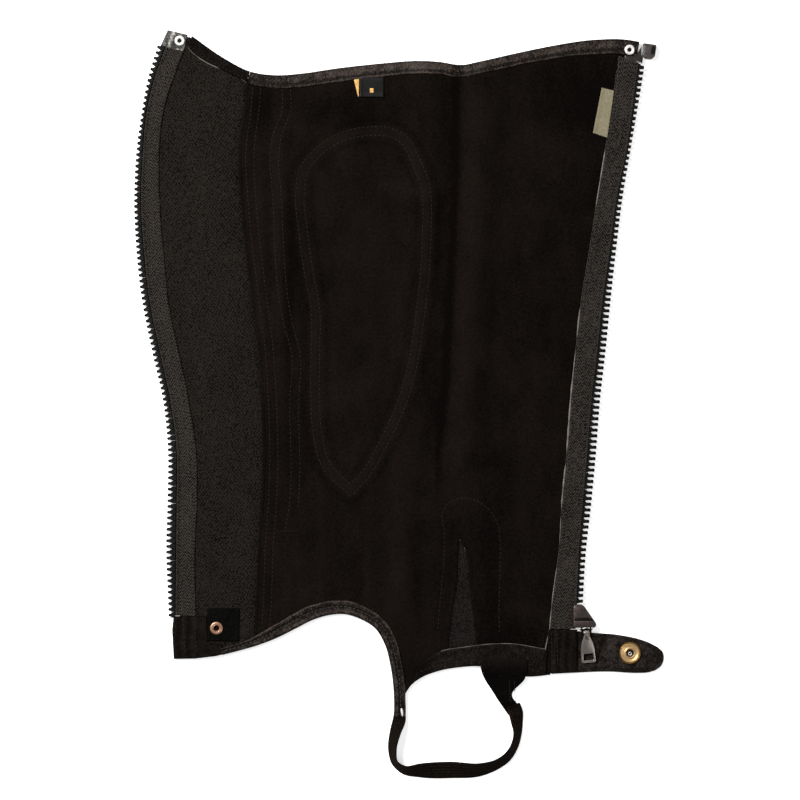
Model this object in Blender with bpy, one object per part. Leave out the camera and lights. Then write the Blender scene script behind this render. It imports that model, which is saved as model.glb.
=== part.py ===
"""A half chap, unzipped and laid flat with its suede side up.

+Z is up and the floor is z = 0. +Y runs from the instep arch to the top edge, and
+X from the stretch panel to the leather edge. Sizes are in millimetres of the
laid-out garment, and become metres where a mesh is made.
"""

import math
from collections import namedtuple

import bmesh
import bpy
import numpy as np
from mathutils import Matrix, Vector
from mathutils.geometry import delaunay_2d_cdt

MM = 0.001
MIDDLE_X, MIDDLE_Y = 0.0, -0.35  # middle of the laid-out garment, moved to the origin

# Driving sizes: layers, edges and seams
GAP = 0.3  # between pieces
LAYER = 0.42  # between a panel and what lies on it
SUEDE = 1.8  # leather panel
STRETCH = 1.2  # knitted panel and gusset
TAPE = 1.0
FILM = 0.8
FACING = 1.0
TAB = 1.3
STRAP = 2.2
LABEL = 0.6
WING = 1.2
CHAIN = 4.2  # thickness of the moulded teeth
BINDING = 1.0  # leather that is folded round an edge
BOUND_EDGE = 1.6  # from a binding's outer edge to the panel inside it
UNDER_TAPE = 3.5  # from a tape's outer edge to the panel below it
EDGE_STEP = 9.0  # between outline points
CELL_X, CELL_Y = 10.0, 17.0  # between points inside a panel
MARK_AWAY = 2.0  # from a mark to an outline

# The two long sides, from the top down
Section = namedtuple(
    "Section", "y left_teeth left_tape left_inner seam right_inner right_tape right_teeth"
)
SECTIONS = (
    Section(247.8, -169.4, -164.5, -150.2, -100.0, 154.4, 169.4, 172.9),
    Section(226.8, -175.8, -171.9, -158.2, -105.9, 151.9, 166.3, 170.1),
    Section(205.8, -179.7, -176.8, -164.5, -107.8, 149.0, 163.8, 166.6),
    Section(177.8, -183.6, -179.6, -167.7, -111.3, 144.8, 159.6, 161.9),
    Section(142.8, -185.3, -181.0, -167.5, -110.0, 139.1, 152.5, 156.1),
    Section(107.8, -183.8, -179.0, -164.9, -106.6, 133.7, 148.1, 151.8),
    Section(72.8, -179.9, -175.1, -161.5, -102.2, 128.0, 143.0, 148.0),
    Section(37.8, -172.9, -168.0, -154.4, -97.8, 124.1, 139.3, 144.5),
    Section(2.8, -165.2, -160.6, -147.1, -95.7, 120.6, 135.1, 140.6),
    Section(-32.2, -161.7, -156.1, -142.1, -94.6, 118.0, 132.3, 137.9),
    Section(-67.2, -162.0, -156.1, -141.4, -95.6, 114.6, 129.3, 134.7),
    Section(-102.2, -162.9, -156.4, -142.8, -98.0, 112.4, 126.4, 130.8),
    Section(-137.2, -161.5, -156.8, -142.5, -99.1, 107.8, 124.6, 128.6),
    Section(-172.2, -160.5, -157.0, -142.0, -101.4, 104.6, 122.6, 126.6),
)

# Edges of the laid-out garment, each as the points its shape needs
Point = namedtuple("Point", "x y")
TOP_EDGE = [
    Point(168.1, 253.4), Point(158.8, 254.9), Point(134.6, 254.5), Point(107.9, 250.3),
    Point(81.1, 244.7), Point(57.0, 239.1), Point(44.9, 236.7), Point(27.5, 238.7),
    Point(14.1, 239.3), Point(-14.2, 237.3), Point(-41.0, 234.2), Point(-67.8, 230.2),
    Point(-86.5, 229.0), Point(-104.0, 231.6), Point(-121.9, 240.8), Point(-145.7, 258.1),
]
ARCH_EDGE = [
    Point(-121.6, -175.2), Point(-113.3, -173.0), Point(-97.2, -168.3), Point(-83.9, -163.0),
    Point(-71.8, -156.9), Point(-59.7, -150.9), Point(-47.7, -147.6), Point(-38.3, -147.1),
    Point(-27.6, -150.2), Point(-16.9, -156.9), Point(-10.2, -167.7), Point(-6.2, -182.4),
    Point(-3.8, -201.1), Point(-3.5, -218.5),
]
HEM_EDGE = [
    Point(5.0, -201.8), Point(8.1, -197.1), Point(16.2, -191.1), Point(26.9, -187.0),
    Point(43.0, -184.1), Point(57.0, -183.5), Point(72.0, -186.8), Point(88.5, -190.6),
    Point(106.6, -189.4),
]

# Heights of the lie. A fold is a ridge from one point to another, and its height
# falls to nothing at its reach to each side and over its end at both ends.
Fold = namedtuple("Fold", "x_top y_top x_low y_low reach rise end")
FOLDS = (
    Fold(23.0, 264.0, 6.0, -84.0, 20.0, 4.4, 62.0),  # left bank of the shin crease
    Fold(63.0, 262.0, 47.0, -62.0, 21.5, 4.8, 60.0),  # right bank of the shin crease
    Fold(0.5, -70.0, 2.0, -166.0, 13.0, 2.8, 42.0),  # ankle, toward the arch
    Fold(30.0, -64.0, 24.0, -170.0, 12.0, 2.4, 34.0),  # ankle, along the gusset
    Fold(66.0, -62.0, 69.0, -168.0, 15.0, 2.2, 44.0),
    Fold(-20.0, 196.0, -26.0, -60.0, 34.0, 1.6, 70.0),  # knee pad between its rows
    Fold(-82.0, 214.0, -70.0, -20.0, 20.0, 1.8, 60.0),
    Fold(-134.0, 220.0, -118.0, -110.0, 23.0, 1.7, 80.0),  # stretch panel
    Fold(112.0, 214.0, 88.0, -40.0, 24.0, 1.4, 90.0),
)
EDGE_LIFT = BINDING + GAP  # a bound edge stands on its binding's lower leg
EDGE_FLAT, EDGE_FADE = 9.0, 16.0
Lift = namedtuple("Lift", "x y flat fade height")
POST = Point(-127.6, -156.6)
SOCKET = Point(161.4, -174.0)
RIVET_LEFT = Point(-153.4, 254.0)
RIVET_RIGHT = Point(161.1, 247.5)
LIFTS = (
    Lift(POST.x, POST.y, 7.0, 14.0, 2.0),
    Lift(SOCKET.x, SOCKET.y, 9.0, 12.0, 1.5),
    Lift(RIVET_LEFT.x, RIVET_LEFT.y, 8.0, 16.0, 1.3),
    Lift(RIVET_RIGHT.x, RIVET_RIGHT.y, 8.0, 24.0, 2.3),
    Lift(124.5, -148.0, 9.0, 22.0, 1.7),  # the slider's lower plate
)

# The pull tab's pivot, and its direction on the plan
PIVOT = Point(130.9, -159.6)
PIVOT_HEIGHT = 7.4
TAB_LEAN = math.radians(4.6)
TAB_DIP = math.radians(10.2)


def smooth(xs, ys, at):
    """A cubic through the points, with each slope the mean of its neighbours'."""
    xs, ys = np.asarray(xs, float), np.asarray(ys, float)
    slopes = np.gradient(ys, xs)
    k = np.clip(np.searchsorted(xs, at) - 1, 0, len(xs) - 2)
    span = xs[k + 1] - xs[k]
    t = (at - xs[k]) / span
    start = (1 + 2 * t) * (1 - t) ** 2 * ys[k] + t * (1 - t) ** 2 * span * slopes[k]
    end = t * t * (3 - 2 * t) * ys[k + 1] + t * t * (t - 1) * span * slopes[k + 1]
    return start + end


def side(column, y):
    """x of one column of SECTIONS at the heights y."""
    rows = SECTIONS[::-1]
    return smooth([row.y for row in rows], [getattr(row, column) for row in rows], y)


def curve(points, step=EDGE_STEP):
    """Even points on a smooth curve through the given ones."""
    p = np.asarray(points, float)
    along = np.r_[0, np.cumsum(np.hypot(*np.diff(p, axis=0).T))]
    at = np.linspace(0, along[-1], max(2, round(along[-1] / step) + 1))
    return np.column_stack([smooth(along, p[:, 0], at), smooth(along, p[:, 1], at)])


def inward(line):
    """Unit normals to the left of the line's direction, where the garment is."""
    run = np.gradient(line, axis=0)
    run /= np.hypot(run[:, 0], run[:, 1])[:, None]
    return np.column_stack([-run[:, 1], run[:, 0]])


def fade(t):
    """1 up to t = 0, 0 from t = 1, and smooth between."""
    t = np.clip(t, 0, 1)
    return 1 - t * t * (3 - 2 * t)


def distance_to(line, x, y):
    """Distance of each point from a polyline."""
    start, run = line[:-1], np.diff(line, axis=0)
    off = np.stack([x, y], -1)[..., None, :] - start
    t = np.clip((off * run).sum(-1) / (run * run).sum(-1), 0, 1)
    return np.sqrt(((off - t[..., None] * run) ** 2).sum(-1)).min(-1)


TOP_LINE = curve(TOP_EDGE)
ARCH_LINE = curve(ARCH_EDGE, 7.5)
HEM_LINE = curve(HEM_EDGE)


def ridge(fold, x, y):
    """Height of one fold: a raised cosine across it, eased out at both ends."""
    run = np.array([fold.x_low - fold.x_top, fold.y_low - fold.y_top])
    length = np.hypot(*run)
    run /= length
    along = (x - fold.x_top) * run[0] + (y - fold.y_top) * run[1]
    across = (x - fold.x_top) * run[1] - (y - fold.y_top) * run[0]
    crest = np.cos(np.clip(across / fold.reach, -1, 1) * math.pi / 2) ** 2
    return fold.rise * crest * fade(1 - along / fold.end) * fade(1 - (length - along) / fold.end)


def lie(x, y):
    """Height of the cloth's underside above the floor."""
    x, y = np.asarray(x, float), np.asarray(y, float)
    lifts = [
        EDGE_LIFT * fade((distance_to(line, x, y) - EDGE_FLAT) / EDGE_FADE)
        for line in (TOP_LINE, ARCH_LINE)
    ]
    for lift in LIFTS:
        lifts.append(lift.height * fade((np.hypot(x - lift.x, y - lift.y) - lift.flat) / lift.fade))
    return np.maximum.reduce(lifts) + sum(ridge(fold, x, y) for fold in FOLDS)


def finish(name, colour, roughness, metallic=0.0):
    """A material of one piece."""
    made = bpy.data.materials.new(name)
    made.use_nodes = True
    shader = made.node_tree.nodes["Principled BSDF"]
    shader.inputs["Base Color"].default_value = (*colour, 1.0)
    shader.inputs["Roughness"].default_value = roughness
    shader.inputs["Metallic"].default_value = metallic
    return made


def piece(name, points, faces, material, origin=(0.0, 0.0, 0.0)):
    """An object of the mesh; points and origin are in millimetres of the drawing."""
    shift = np.array([MIDDLE_X, MIDDLE_Y, 0.0])
    mesh = bpy.data.meshes.new(name)
    local = (np.asarray(points, float) - np.asarray(origin, float)) * MM
    mesh.from_pydata(local.tolist(), [], faces)
    mesh.validate()
    made = bpy.data.objects.new(name, mesh)
    if any(origin):
        made.location = (np.asarray(origin, float) - shift) * MM
    else:
        mesh.transform(Matrix.Translation(Vector(-shift * MM)))
    mesh.materials.append(material)
    bpy.context.collection.objects.link(made)
    return made


def inside(outline, points):
    """Which points lie in the closed outline: an odd number of edges to one side."""
    x, y = points[:, 0, None], points[:, 1, None]
    x0, y0 = outline[:, 0], outline[:, 1]
    x1, y1 = np.roll(x0, -1), np.roll(y0, -1)
    crosses = (y0 > y) != (y1 > y)
    rise = np.where(y1 == y0, 1e-9, y1 - y0)
    return (crosses & (x < (x1 - x0) * (y - y0) / rise + x0)).sum(1) % 2 == 1


def stepped(corners, step=5.0):
    """The closed outline through the corners, with even points on its straight edges."""
    points = []
    for start, end in zip(corners, (*corners[1:], corners[0])):
        start, end = np.array(start, float), np.array(end, float)
        count = max(1, round(np.hypot(*(end - start)) / step))
        points += [start + (end - start) * i / count for i in range(count)]
    return np.array(points)


def rings_at(centre, radii, count=10):
    """Points on circles round a fastener."""
    angles = np.arange(count) * 2 * math.pi / count
    turn = np.column_stack([np.cos(angles), np.sin(angles)])
    return [np.array(centre) + radius * turn for radius in radii]


def clear_of(loops, points, away):
    """The points in the first loop, outside the others, and away from all of them."""
    keep = inside(loops[0], points)
    for hole in loops[1:]:
        keep &= ~inside(hole, points)
    for loop in loops:
        closed = np.vstack([loop, loop[:1]])
        keep &= distance_to(closed, points[:, 0], points[:, 1]) > away
    return points[keep]


def cloth(
    name, outline, level, thick, material, holes=(), marks=(), under=lie, cell=(CELL_X, CELL_Y)
):
    """A wall on the lie: its underside is level above it, its top thick above that.
    The marks are points inside it where another piece that lies on it has its own."""
    loops = [np.asarray(loop, float) for loop in (outline, *holes)]
    low, high = loops[0].min(0), loops[0].max(0)
    xs = np.arange(low[0] + cell[0] / 2, high[0], cell[0])
    ys = np.arange(low[1] + cell[1] / 2, high[1], cell[1])
    grid = np.stack(np.meshgrid(xs, ys), -1).reshape(-1, 2)
    grid = clear_of(loops, grid, 0.42 * cell[0])
    if len(marks):
        marks = clear_of(loops, np.vstack(marks), MARK_AWAY)
        apart = np.hypot(*(grid[:, None] - marks[None]).transpose(2, 0, 1)).min(1)
        grid = np.vstack([marks, grid[apart > 0.42 * cell[0]]])
    points, edges = [], []
    for loop in loops:
        first, count = len(points), len(loop)
        points += [Vector(p) for p in loop]
        edges += [(first + i, first + (i + 1) % count) for i in range(count)]
    points += [Vector(p) for p in grid]
    found, _, triangles, *_ = delaunay_2d_cdt(points, edges, [], 0, 1e-5)
    flat = np.array([tuple(p) for p in found])
    triangles = np.array(triangles)
    middles = flat[triangles].mean(1)
    keep = inside(loops[0], middles)
    for hole in loops[1:]:
        keep &= ~inside(hole, middles)
    triangles = triangles[keep]
    return walled(name, flat, triangles, under(flat[:, 0], flat[:, 1]) + level, thick, material)


def walled(name, flat, triangles, height, thick, material):
    """A closed wall: the triangles twice, and sides where an edge has one triangle."""
    used = np.unique(triangles)
    index = np.full(len(flat), -1)
    index[used] = np.arange(len(used))
    flat, height, triangles = flat[used], height[used], index[triangles]
    count = len(flat)
    points = np.vstack(
        [np.column_stack([flat, height]), np.column_stack([flat, height + thick])]
    )
    run = {}
    for a, b, c in triangles.tolist():
        for pair in ((a, b), (b, c), (c, a)):
            run[pair] = run.get(pair, 0) + 1
    rim = [pair for pair in run if pair[::-1] not in run]
    faces = [tuple(t + count) for t in triangles]
    faces += [tuple(t[::-1]) for t in triangles]
    faces += [(a, b, b + count, a + count) for a, b in rim]
    faces = [tuple(int(i) for i in face) for face in faces]
    return piece(name, points, faces, material)


def lofted(name, rings, material, origin=(0.0, 0.0, 0.0)):
    """A solid through rings of points, closed by a cap at each end."""
    rings = np.asarray(rings, float)
    stations, around = rings.shape[:2]
    faces = []
    for i in range(stations - 1):
        for j in range(around):
            k = (j + 1) % around
            faces.append((i * around + j, i * around + k, (i + 1) * around + k, (i + 1) * around + j))
    faces.append(tuple(range(around))[::-1])
    faces.append(tuple((stations - 1) * around + j for j in range(around)))
    made = piece(name, rings.reshape(-1, 3), faces, material, origin)
    outward(made)
    return made


def outward(made):
    """Turns every face of a closed mesh outward."""
    work = bmesh.new()
    work.from_mesh(made.data)
    bmesh.ops.recalc_face_normals(work, faces=work.faces)
    work.to_mesh(made.data)
    work.free()


def bound(name, line, panel, widths, material, last=None):
    """A binding folded round a bound edge: an upper leg, a rounded outer edge and a
    lower leg, each point on the lie below it. It may end along a given direction."""
    normals = inward(line)
    if last:
        normals[-1] = last
    low, high = -GAP - BINDING, panel + LAYER + BINDING
    middle = (low + high) / 2
    rings = []
    for point, normal, width in zip(line, normals, widths):
        half = 0.6 * width
        profile = [
            (width, panel + LAYER), (width, high), (half, high), (1.4, high), (0.4, high - 0.7),
            (0.0, middle), (0.4, low + 0.7), (1.4, low), (half, low), (half, -GAP),
            (BOUND_EDGE - GAP, -GAP), (BOUND_EDGE - GAP, panel + LAYER), (half, panel + LAYER),
        ]
        depth = np.array([d for d, _ in profile])
        height = np.array([h for _, h in profile])
        plan = point + depth[:, None] * normal
        rings.append(np.column_stack([plan, lie(plan[:, 0], plan[:, 1]) + height]))
    return lofted(name, rings, material)


def turned(name, centre, profile, material, segments=20):
    """A solid of revolution round an upright axis; a point at radius 0 is a pole."""
    angles = np.arange(segments) * 2 * math.pi / segments
    points, loops = [], []
    for radius, height in profile:
        first = len(points)
        if radius == 0:
            points.append((centre.x, centre.y, height))
            loops.append([first] * segments)
            continue
        for angle in angles:
            points.append(
                (centre.x + radius * math.cos(angle), centre.y + radius * math.sin(angle), height)
            )
        loops.append(list(range(first, first + segments)))
    faces = []
    closed = profile[0][0] != 0
    pairs = list(zip(loops, loops[1:]))
    if closed:
        pairs.append((loops[-1], loops[0]))
    for one, other in pairs:
        for i in range(segments):
            k = (i + 1) % segments
            face = []
            for index in (one[i], one[k], other[k], other[i]):
                if index not in face:
                    face.append(index)
            faces.append(tuple(face))
    made = piece(name, points, faces, material)
    outward(made)
    return made


def prism(name, outline, low, high, material, origin=(0.0, 0.0, 0.0), inset=0.0):
    """An upright prism; its top is drawn in by inset toward its middle."""
    outline = np.asarray(outline, float)
    middle = outline.mean(0)
    off = outline - middle
    top = middle + off * (1 - inset / np.hypot(off[:, 0], off[:, 1]))[:, None]
    rings = [
        np.column_stack([outline, np.full(len(outline), low)]),
        np.column_stack([top, np.full(len(outline), high)]),
    ]
    return lofted(name, rings, material, origin)


def boolean(target, other, operation):
    """Joins another mesh to the target, or cuts it away, and removes it."""
    modifier = target.modifiers.new("Boolean", "BOOLEAN")
    modifier.operation = operation
    modifier.object = other
    modifier.solver = "EXACT"
    bpy.context.view_layer.update()
    shape = target.evaluated_get(bpy.context.evaluated_depsgraph_get())
    mesh = bpy.data.meshes.new_from_object(shape)
    target.modifiers.remove(modifier)
    target.data = mesh
    bpy.data.objects.remove(other)


def joined(parts):
    """One solid of overlapping parts; the first keeps its name."""
    for other in parts[1:]:
        boolean(parts[0], other, "UNION")
    return parts[0]


def pierced(objects, centre, radius):
    """Cuts a round hole for a shank through each object."""
    for target in objects:
        cutter = turned("cutter", centre, [(0, -5), (radius, -5), (radius, 15), (0, 15)], None, 16)
        boolean(target, cutter, "DIFFERENCE")


def part_of(line, low_x, high_x):
    """The points of a line between two x, ends included."""
    return line[(line[:, 0] >= low_x) & (line[:, 0] <= high_x)]


def strip(column, shift, tops):
    """Points of one column of SECTIONS at the given heights, moved by shift in x."""
    tops = np.asarray(tops, float)
    return np.column_stack([side(column, tops) + shift, tops])


def heights(start, end, step=12.0):
    """Even heights from start to end."""
    return np.linspace(start, end, max(2, round(abs(end - start) / step) + 1))


TAPE_END_LEFT, TAPE_END_RIGHT = -148.0, -157.2
CHAIN_TOP_LEFT, CHAIN_END_RIGHT = 248.4, -148.6
LEFT_DOWN = heights(244.6, TAPE_END_LEFT)
RIGHT_UP = heights(TAPE_END_RIGHT, 236.6)


def top_widths(x):
    """Width of the binding that shows along the leather's top edge."""
    return smooth([-110.0, 120.0, 152.0, 175.0], [7.6, 7.6, 10.3, 10.3], x)


def matt_widths(x):
    """Width of the binding that shows along the stretch panel's top edge."""
    return smooth([-150.0, -125.0, -104.0], [9.0, 7.4, 5.8], x)


def arch_widths(x):
    """Width of the binding that shows round the arch."""
    return smooth([-125.0, -112.0, -88.0, 5.0], [5.0, 5.0, 8.6, 8.2], x)


def bound_marks(line, widths):
    """Points below a binding's middle and just past its inner edge."""
    wide = widths(line[:, 0])[:, None]
    return [line + share * wide * inward(line) for share in (0.6, 1.05)]


PATCH = [(-134.0, -142.8), (-134.0, -165.4), (-112.0, -165.8), (-111.7, -142.8)]
POST_MARKS = rings_at(POST, (6.8, 11.5, 16.5))
FACING_TOP = [
    Point(103.6, -171.6), Point(94.5, -170.0), Point(81.2, -167.8), Point(64.3, -167.8),
    Point(45.7, -170.0), Point(28.9, -173.1), Point(20.5, -178.0), Point(13.0, -185.4),
]
GUSSET = [  # the wedge from its apex, down its left side and up its right
    Point(42.8, -92.4), Point(39.8, -108.1), Point(39.6, -121.8), Point(36.4, -141.4),
    Point(33.5, -165.9), Point(32.8, -174.6), Point(56.8, -174.6), Point(56.0, -168.8),
    Point(54.0, -151.2), Point(51.1, -131.6), Point(50.1, -115.9), Point(45.2, -97.3),
]
SEAM_TOP, SEAM_LOW = 229.3, -166.6


def make_panels():
    """The leather panel, the stretch panel and the elastic gusset."""
    suede = finish("suede", (0.016, 0.012, 0.010), 0.95)
    knit = finish("stretch knit", (0.030, 0.028, 0.027), 0.9)
    rib = finish("ribbed elastic", (0.040, 0.038, 0.036), 0.85)
    top = TOP_LINE + BOUND_EDGE * inward(TOP_LINE)
    arch = ARCH_LINE + BOUND_EDGE * inward(ARCH_LINE)
    seam_down = strip("seam", GAP / 2, heights(SEAM_TOP, SEAM_LOW))
    main_outline = np.vstack([
        part_of(top, -103.5, 165.8),
        seam_down,
        part_of(arch, -98.5, 5.0),
        [(4.5, -214.5), (4.6, -203.0)],
        HEM_LINE,
        [(106.6, -172.0), (106.6, -158.2), (120.6, -158.2)],
        strip("right_tape", -UNDER_TAPE, RIGHT_UP[1:]),
        strip("right_tape", -UNDER_TAPE, [246.0]),
    ])
    gusset = np.asarray(GUSSET, float)
    marks = bound_marks(TOP_LINE, top_widths) + bound_marks(ARCH_LINE, arch_widths)
    marks += [np.asarray(FACING_TOP, float), strip("right_inner", -0.3, RIGHT_UP)]
    leather = cloth("main_panel", main_outline, 0, SUEDE, suede, [gusset], marks)
    stretch_outline = np.vstack([
        part_of(top, -146.0, -105.5),
        [(-147.2, 256.4), (-158.6, 258.9)],
        strip("left_tape", UNDER_TAPE, LEFT_DOWN),
        [(-154.8, -164.0), (-153.6, -176.6), (-141.8, -176.4), (-128.4, -174.8)],
        part_of(arch, -122.0, -101.5),
        strip("seam", -GAP / 2, heights(SEAM_LOW, SEAM_TOP)),
    ])
    marks[-2:] = [strip("left_inner", 0.3, LEFT_DOWN), stepped(PATCH), *POST_MARKS]
    stretch = cloth("stretch_panel", stretch_outline, 0, STRETCH, knit, marks=marks)
    closed = np.vstack([gusset[-1], gusset, gusset[0]])
    smaller = gusset + 0.35 * inward(closed)[1:-1]
    smaller[0] = (gusset[0][0], gusset[0][1] - 1.6)
    cloth("ankle_gusset", smaller, 0.3, STRETCH, rib)
    return leather, stretch


def make_bindings():
    """Bindings on the top edge and round the arch, and the facing on the hem."""
    grain = finish("bright leather", (0.045, 0.038, 0.036), 0.35)
    matt = finish("matt binding", (0.022, 0.020, 0.019), 0.8)
    top = np.vstack([part_of(TOP_LINE, -103.4, 170.0), (-103.9, 231.5)])
    main = bound("top_binding", top, SUEDE, top_widths(top[:, 0]), grain)
    short = np.vstack([(-104.3, 231.75), part_of(TOP_LINE, -145.0, -104.6), (-146.0, 258.3)])
    film_edge = (-0.24, -0.97)  # direction of the left film's inner edge
    bound("top_binding_stretch", short, STRETCH, matt_widths(short[:, 0]), matt, film_edge)
    bound("arch_binding", ARCH_LINE, SUEDE, arch_widths(ARCH_LINE[:, 0]), grain)
    facing = np.vstack([part_of(HEM_LINE, 9.5, 103.6), FACING_TOP])
    cloth("hem_facing", facing, SUEDE + LAYER, FACING, grain)
    return main


LEFT_LEVEL = STRETCH + LAYER  # what lies on the stretch panel
RIGHT_LEVEL = SUEDE + LAYER  # what lies on the leather
FILM_LEFT = [
    Point(-161.7, 261.5), Point(-167.3, 249.5), Point(-150.8, 245.8), Point(-147.7, 258.2),
]
FILM_RIGHT = [
    Point(157.8, 243.8), Point(157.8, 239.4), Point(163.2, 237.8), Point(168.4, 238.2),
    Point(168.5, 242.0), Point(165.0, 242.6),
]


def make_zip():
    """Tapes, the closed outer shape of the two tooth rows, and the film on their ends."""
    woven = finish("woven tape", (0.040, 0.038, 0.036), 0.85)
    moulded = finish("moulded teeth", (0.025, 0.024, 0.023), 0.4)
    film = finish("clear film", (0.30, 0.29, 0.28), 0.25)
    left = np.vstack([
        strip("left_tape", 0, [CHAIN_TOP_LEFT]),
        strip("left_tape", 0, LEFT_DOWN),
        strip("left_inner", 0, LEFT_DOWN[::-1]),
    ])
    edge = [strip("left_tape", UNDER_TAPE, LEFT_DOWN)]
    cloth("zip_tape_left", left, LEFT_LEVEL, TAPE, woven, marks=edge)
    right = np.vstack([
        strip("right_tape", 0, RIGHT_UP),
        [(163.2, 237.4), (157.4, 239.0), (157.4, 243.8), (154.2, 243.8)],
        strip("right_inner", 0, RIGHT_UP[::-1]),
    ])
    edge = [strip("right_tape", -UNDER_TAPE, RIGHT_UP)]
    cloth("zip_tape_right", right, RIGHT_LEVEL, TAPE, woven, marks=edge)
    left_rows = np.r_[CHAIN_TOP_LEFT, LEFT_DOWN]
    right_rows = RIGHT_UP[RIGHT_UP > CHAIN_END_RIGHT]
    for name, tape, teeth, level, rows in (
        ("zip_chain_left", "left_tape", "left_teeth", LEFT_LEVEL, left_rows),
        ("zip_chain_right", "right_tape", "right_teeth", RIGHT_LEVEL, right_rows[::-1]),
    ):
        away = -GAP if name.endswith("left") else GAP
        near, far = strip(tape, away, rows), strip(teeth, 0, rows)
        ring = [far, near[::-1]] if name.endswith("left") else [near, far[::-1]]
        low = max(0.0, level + TAPE / 2 - CHAIN / 2)
        high = level + TAPE / 2 + CHAIN / 2
        cloth(name, np.vstack(ring), low, high - low, moulded)
    left_film = cloth("zip_end_left", FILM_LEFT, LEFT_LEVEL, FILM, film)
    cloth("zip_end_right", FILM_RIGHT, RIGHT_LEVEL, FILM, film)
    return left_film


def spool(name, centre, hole, shank, flange, low, high, plates, material, segments=20):
    """A set fastener: a shank with a flange below and above the cloth."""
    below, above = plates
    profile = [
        (hole, low), (flange, low), (flange, low + below), (shank, low + below),
        (shank, high - above), (flange, high - above), (flange - 0.5, high - 0.2),
        (flange - 1.4, high), (hole + 0.4, high), (hole, high - 0.4),
    ]
    return turned(name, centre, profile, material, segments)


def make_fasteners(leather, stretch, top_binding, left_film):
    """Rivets at the top corners, the snap's post and its backing patch."""
    silver = finish("silver", (0.70, 0.69, 0.66), 0.3, 1.0)
    brass = finish("brass", (0.60, 0.44, 0.22), 0.35, 1.0)
    patch_finish = finish("patch", (0.020, 0.022, 0.021), 0.9)
    height = float(lie(*RIVET_LEFT)) + LEFT_LEVEL + FILM + GAP
    spool("rivet_left", RIVET_LEFT, 1.25, 1.9, 3.65, 0.1, height + 0.8, (0.7, 0.8), silver)
    pierced([left_film, stretch], RIVET_LEFT, 2.3)
    height = float(lie(*RIVET_RIGHT)) + RIGHT_LEVEL + BINDING + GAP
    spool("rivet_right", RIVET_RIGHT, 1.25, 1.9, 3.65, 0.1, height + 0.8, (0.7, 0.8), silver)
    pierced([top_binding, leather], RIVET_RIGHT, 2.3)
    patch = cloth(
        "snap_backing", stepped(PATCH), LEFT_LEVEL, TAPE, patch_finish, marks=POST_MARKS
    )
    height = float(lie(*POST)) + LEFT_LEVEL + TAPE + GAP
    spool("post_eyelet", POST, 2.0, 2.9, 5.25, 0.0, height + 1.0, (1.5, 1.0), brass)
    pierced([patch, stretch], POST, 3.3)


def make_tabs():
    """Leather tabs over the tapes' lower ends."""
    worn = finish("worn leather", (0.030, 0.024, 0.020), 0.6)
    left = [
        (-159.3, -148.4), (-157.9, -163.0), (-156.2, -178.4), (-142.8, -178.1),
        (-128.0, -176.3), (-123.6, -175.2), (-123.6, -168.6), (-134.4, -166.4),
        (-134.4, -148.4),
    ]
    cloth("bottom_tab_left", stepped(left), LEFT_LEVEL, TAB, worn, marks=POST_MARKS)
    right = [(104.0, -157.6), (104.0, -188.6), (124.6, -187.4), (124.6, -157.6)]
    cloth("bottom_tab_right", right, STRAP + LAYER, TAB, worn)


STRAP_EDGE = [
    Point(107.0, -188.9), Point(120.6, -188.2), Point(147.4, -187.3), Point(167.5, -188.2),
    Point(178.2, -187.0), Point(183.5, -183.1), Point(185.3, -177.0), Point(184.2, -173.0),
    Point(178.2, -168.3), Point(167.5, -164.3), Point(154.1, -161.6), Point(135.4, -160.0),
    Point(124.0, -158.8), Point(107.0, -158.6),
]


def make_strap():
    """The strap with its round end, and the snap's socket on it."""
    grain = finish("strap leather", (0.045, 0.038, 0.034), 0.45)
    gold = finish("gold", (0.86, 0.66, 0.34), 0.25, 1.0)
    strap = cloth("snap_strap", curve(STRAP_EDGE, 6.0), 0, STRAP, grain)
    rest = float(lie(*SOCKET)) + STRAP + GAP
    profile = [
        (0, 0.0), (6.6, 0.0), (7.5, 0.6), (7.5, 1.2), (4.2, 1.2), (4.2, rest), (7.5, rest),
        (7.5, rest + 0.9), (6.6, rest + 1.6), (3.3, rest + 1.6), (2.7, rest + 1.1),
        (2.7, 1.6), (0, 1.6),
    ]
    turned("snap_socket", SOCKET, profile, gold, 28)
    pierced([strap], SOCKET, 4.6)


SLIDER = [
    Point(121.8, -155.4), Point(121.8, -142.0), Point(123.0, -140.4), Point(127.6, -140.2),
    Point(129.6, -141.4), Point(137.9, -153.6), Point(137.2, -156.0), Point(122.4, -156.2),
]
SLIDER_RIM = 1.1  # wall at the plates' sides
PLATE = 1.3
CHANNEL_LOW, CHANNEL_HIGH = 1.3, 6.8  # between the slider's plates
RIM_LOW, RIM_HIGH = 3.45, 5.2  # the tape passes between the rims


def tab_frame(u, v, w):
    """A point of the pull tab: u along it from the pivot, v across, w out of its face."""
    along = np.array([math.sin(TAB_LEAN), -math.cos(TAB_LEAN), 0.0])
    across = np.array([math.cos(TAB_LEAN), math.sin(TAB_LEAN), 0.0])
    up = np.array([0.0, 0.0, 1.0])
    run = along * math.cos(TAB_DIP) - up * math.sin(TAB_DIP)
    face = along * math.sin(TAB_DIP) + up * math.cos(TAB_DIP)
    return np.array([*PIVOT, PIVOT_HEIGHT]) + u * run + v * across + w * face


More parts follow.
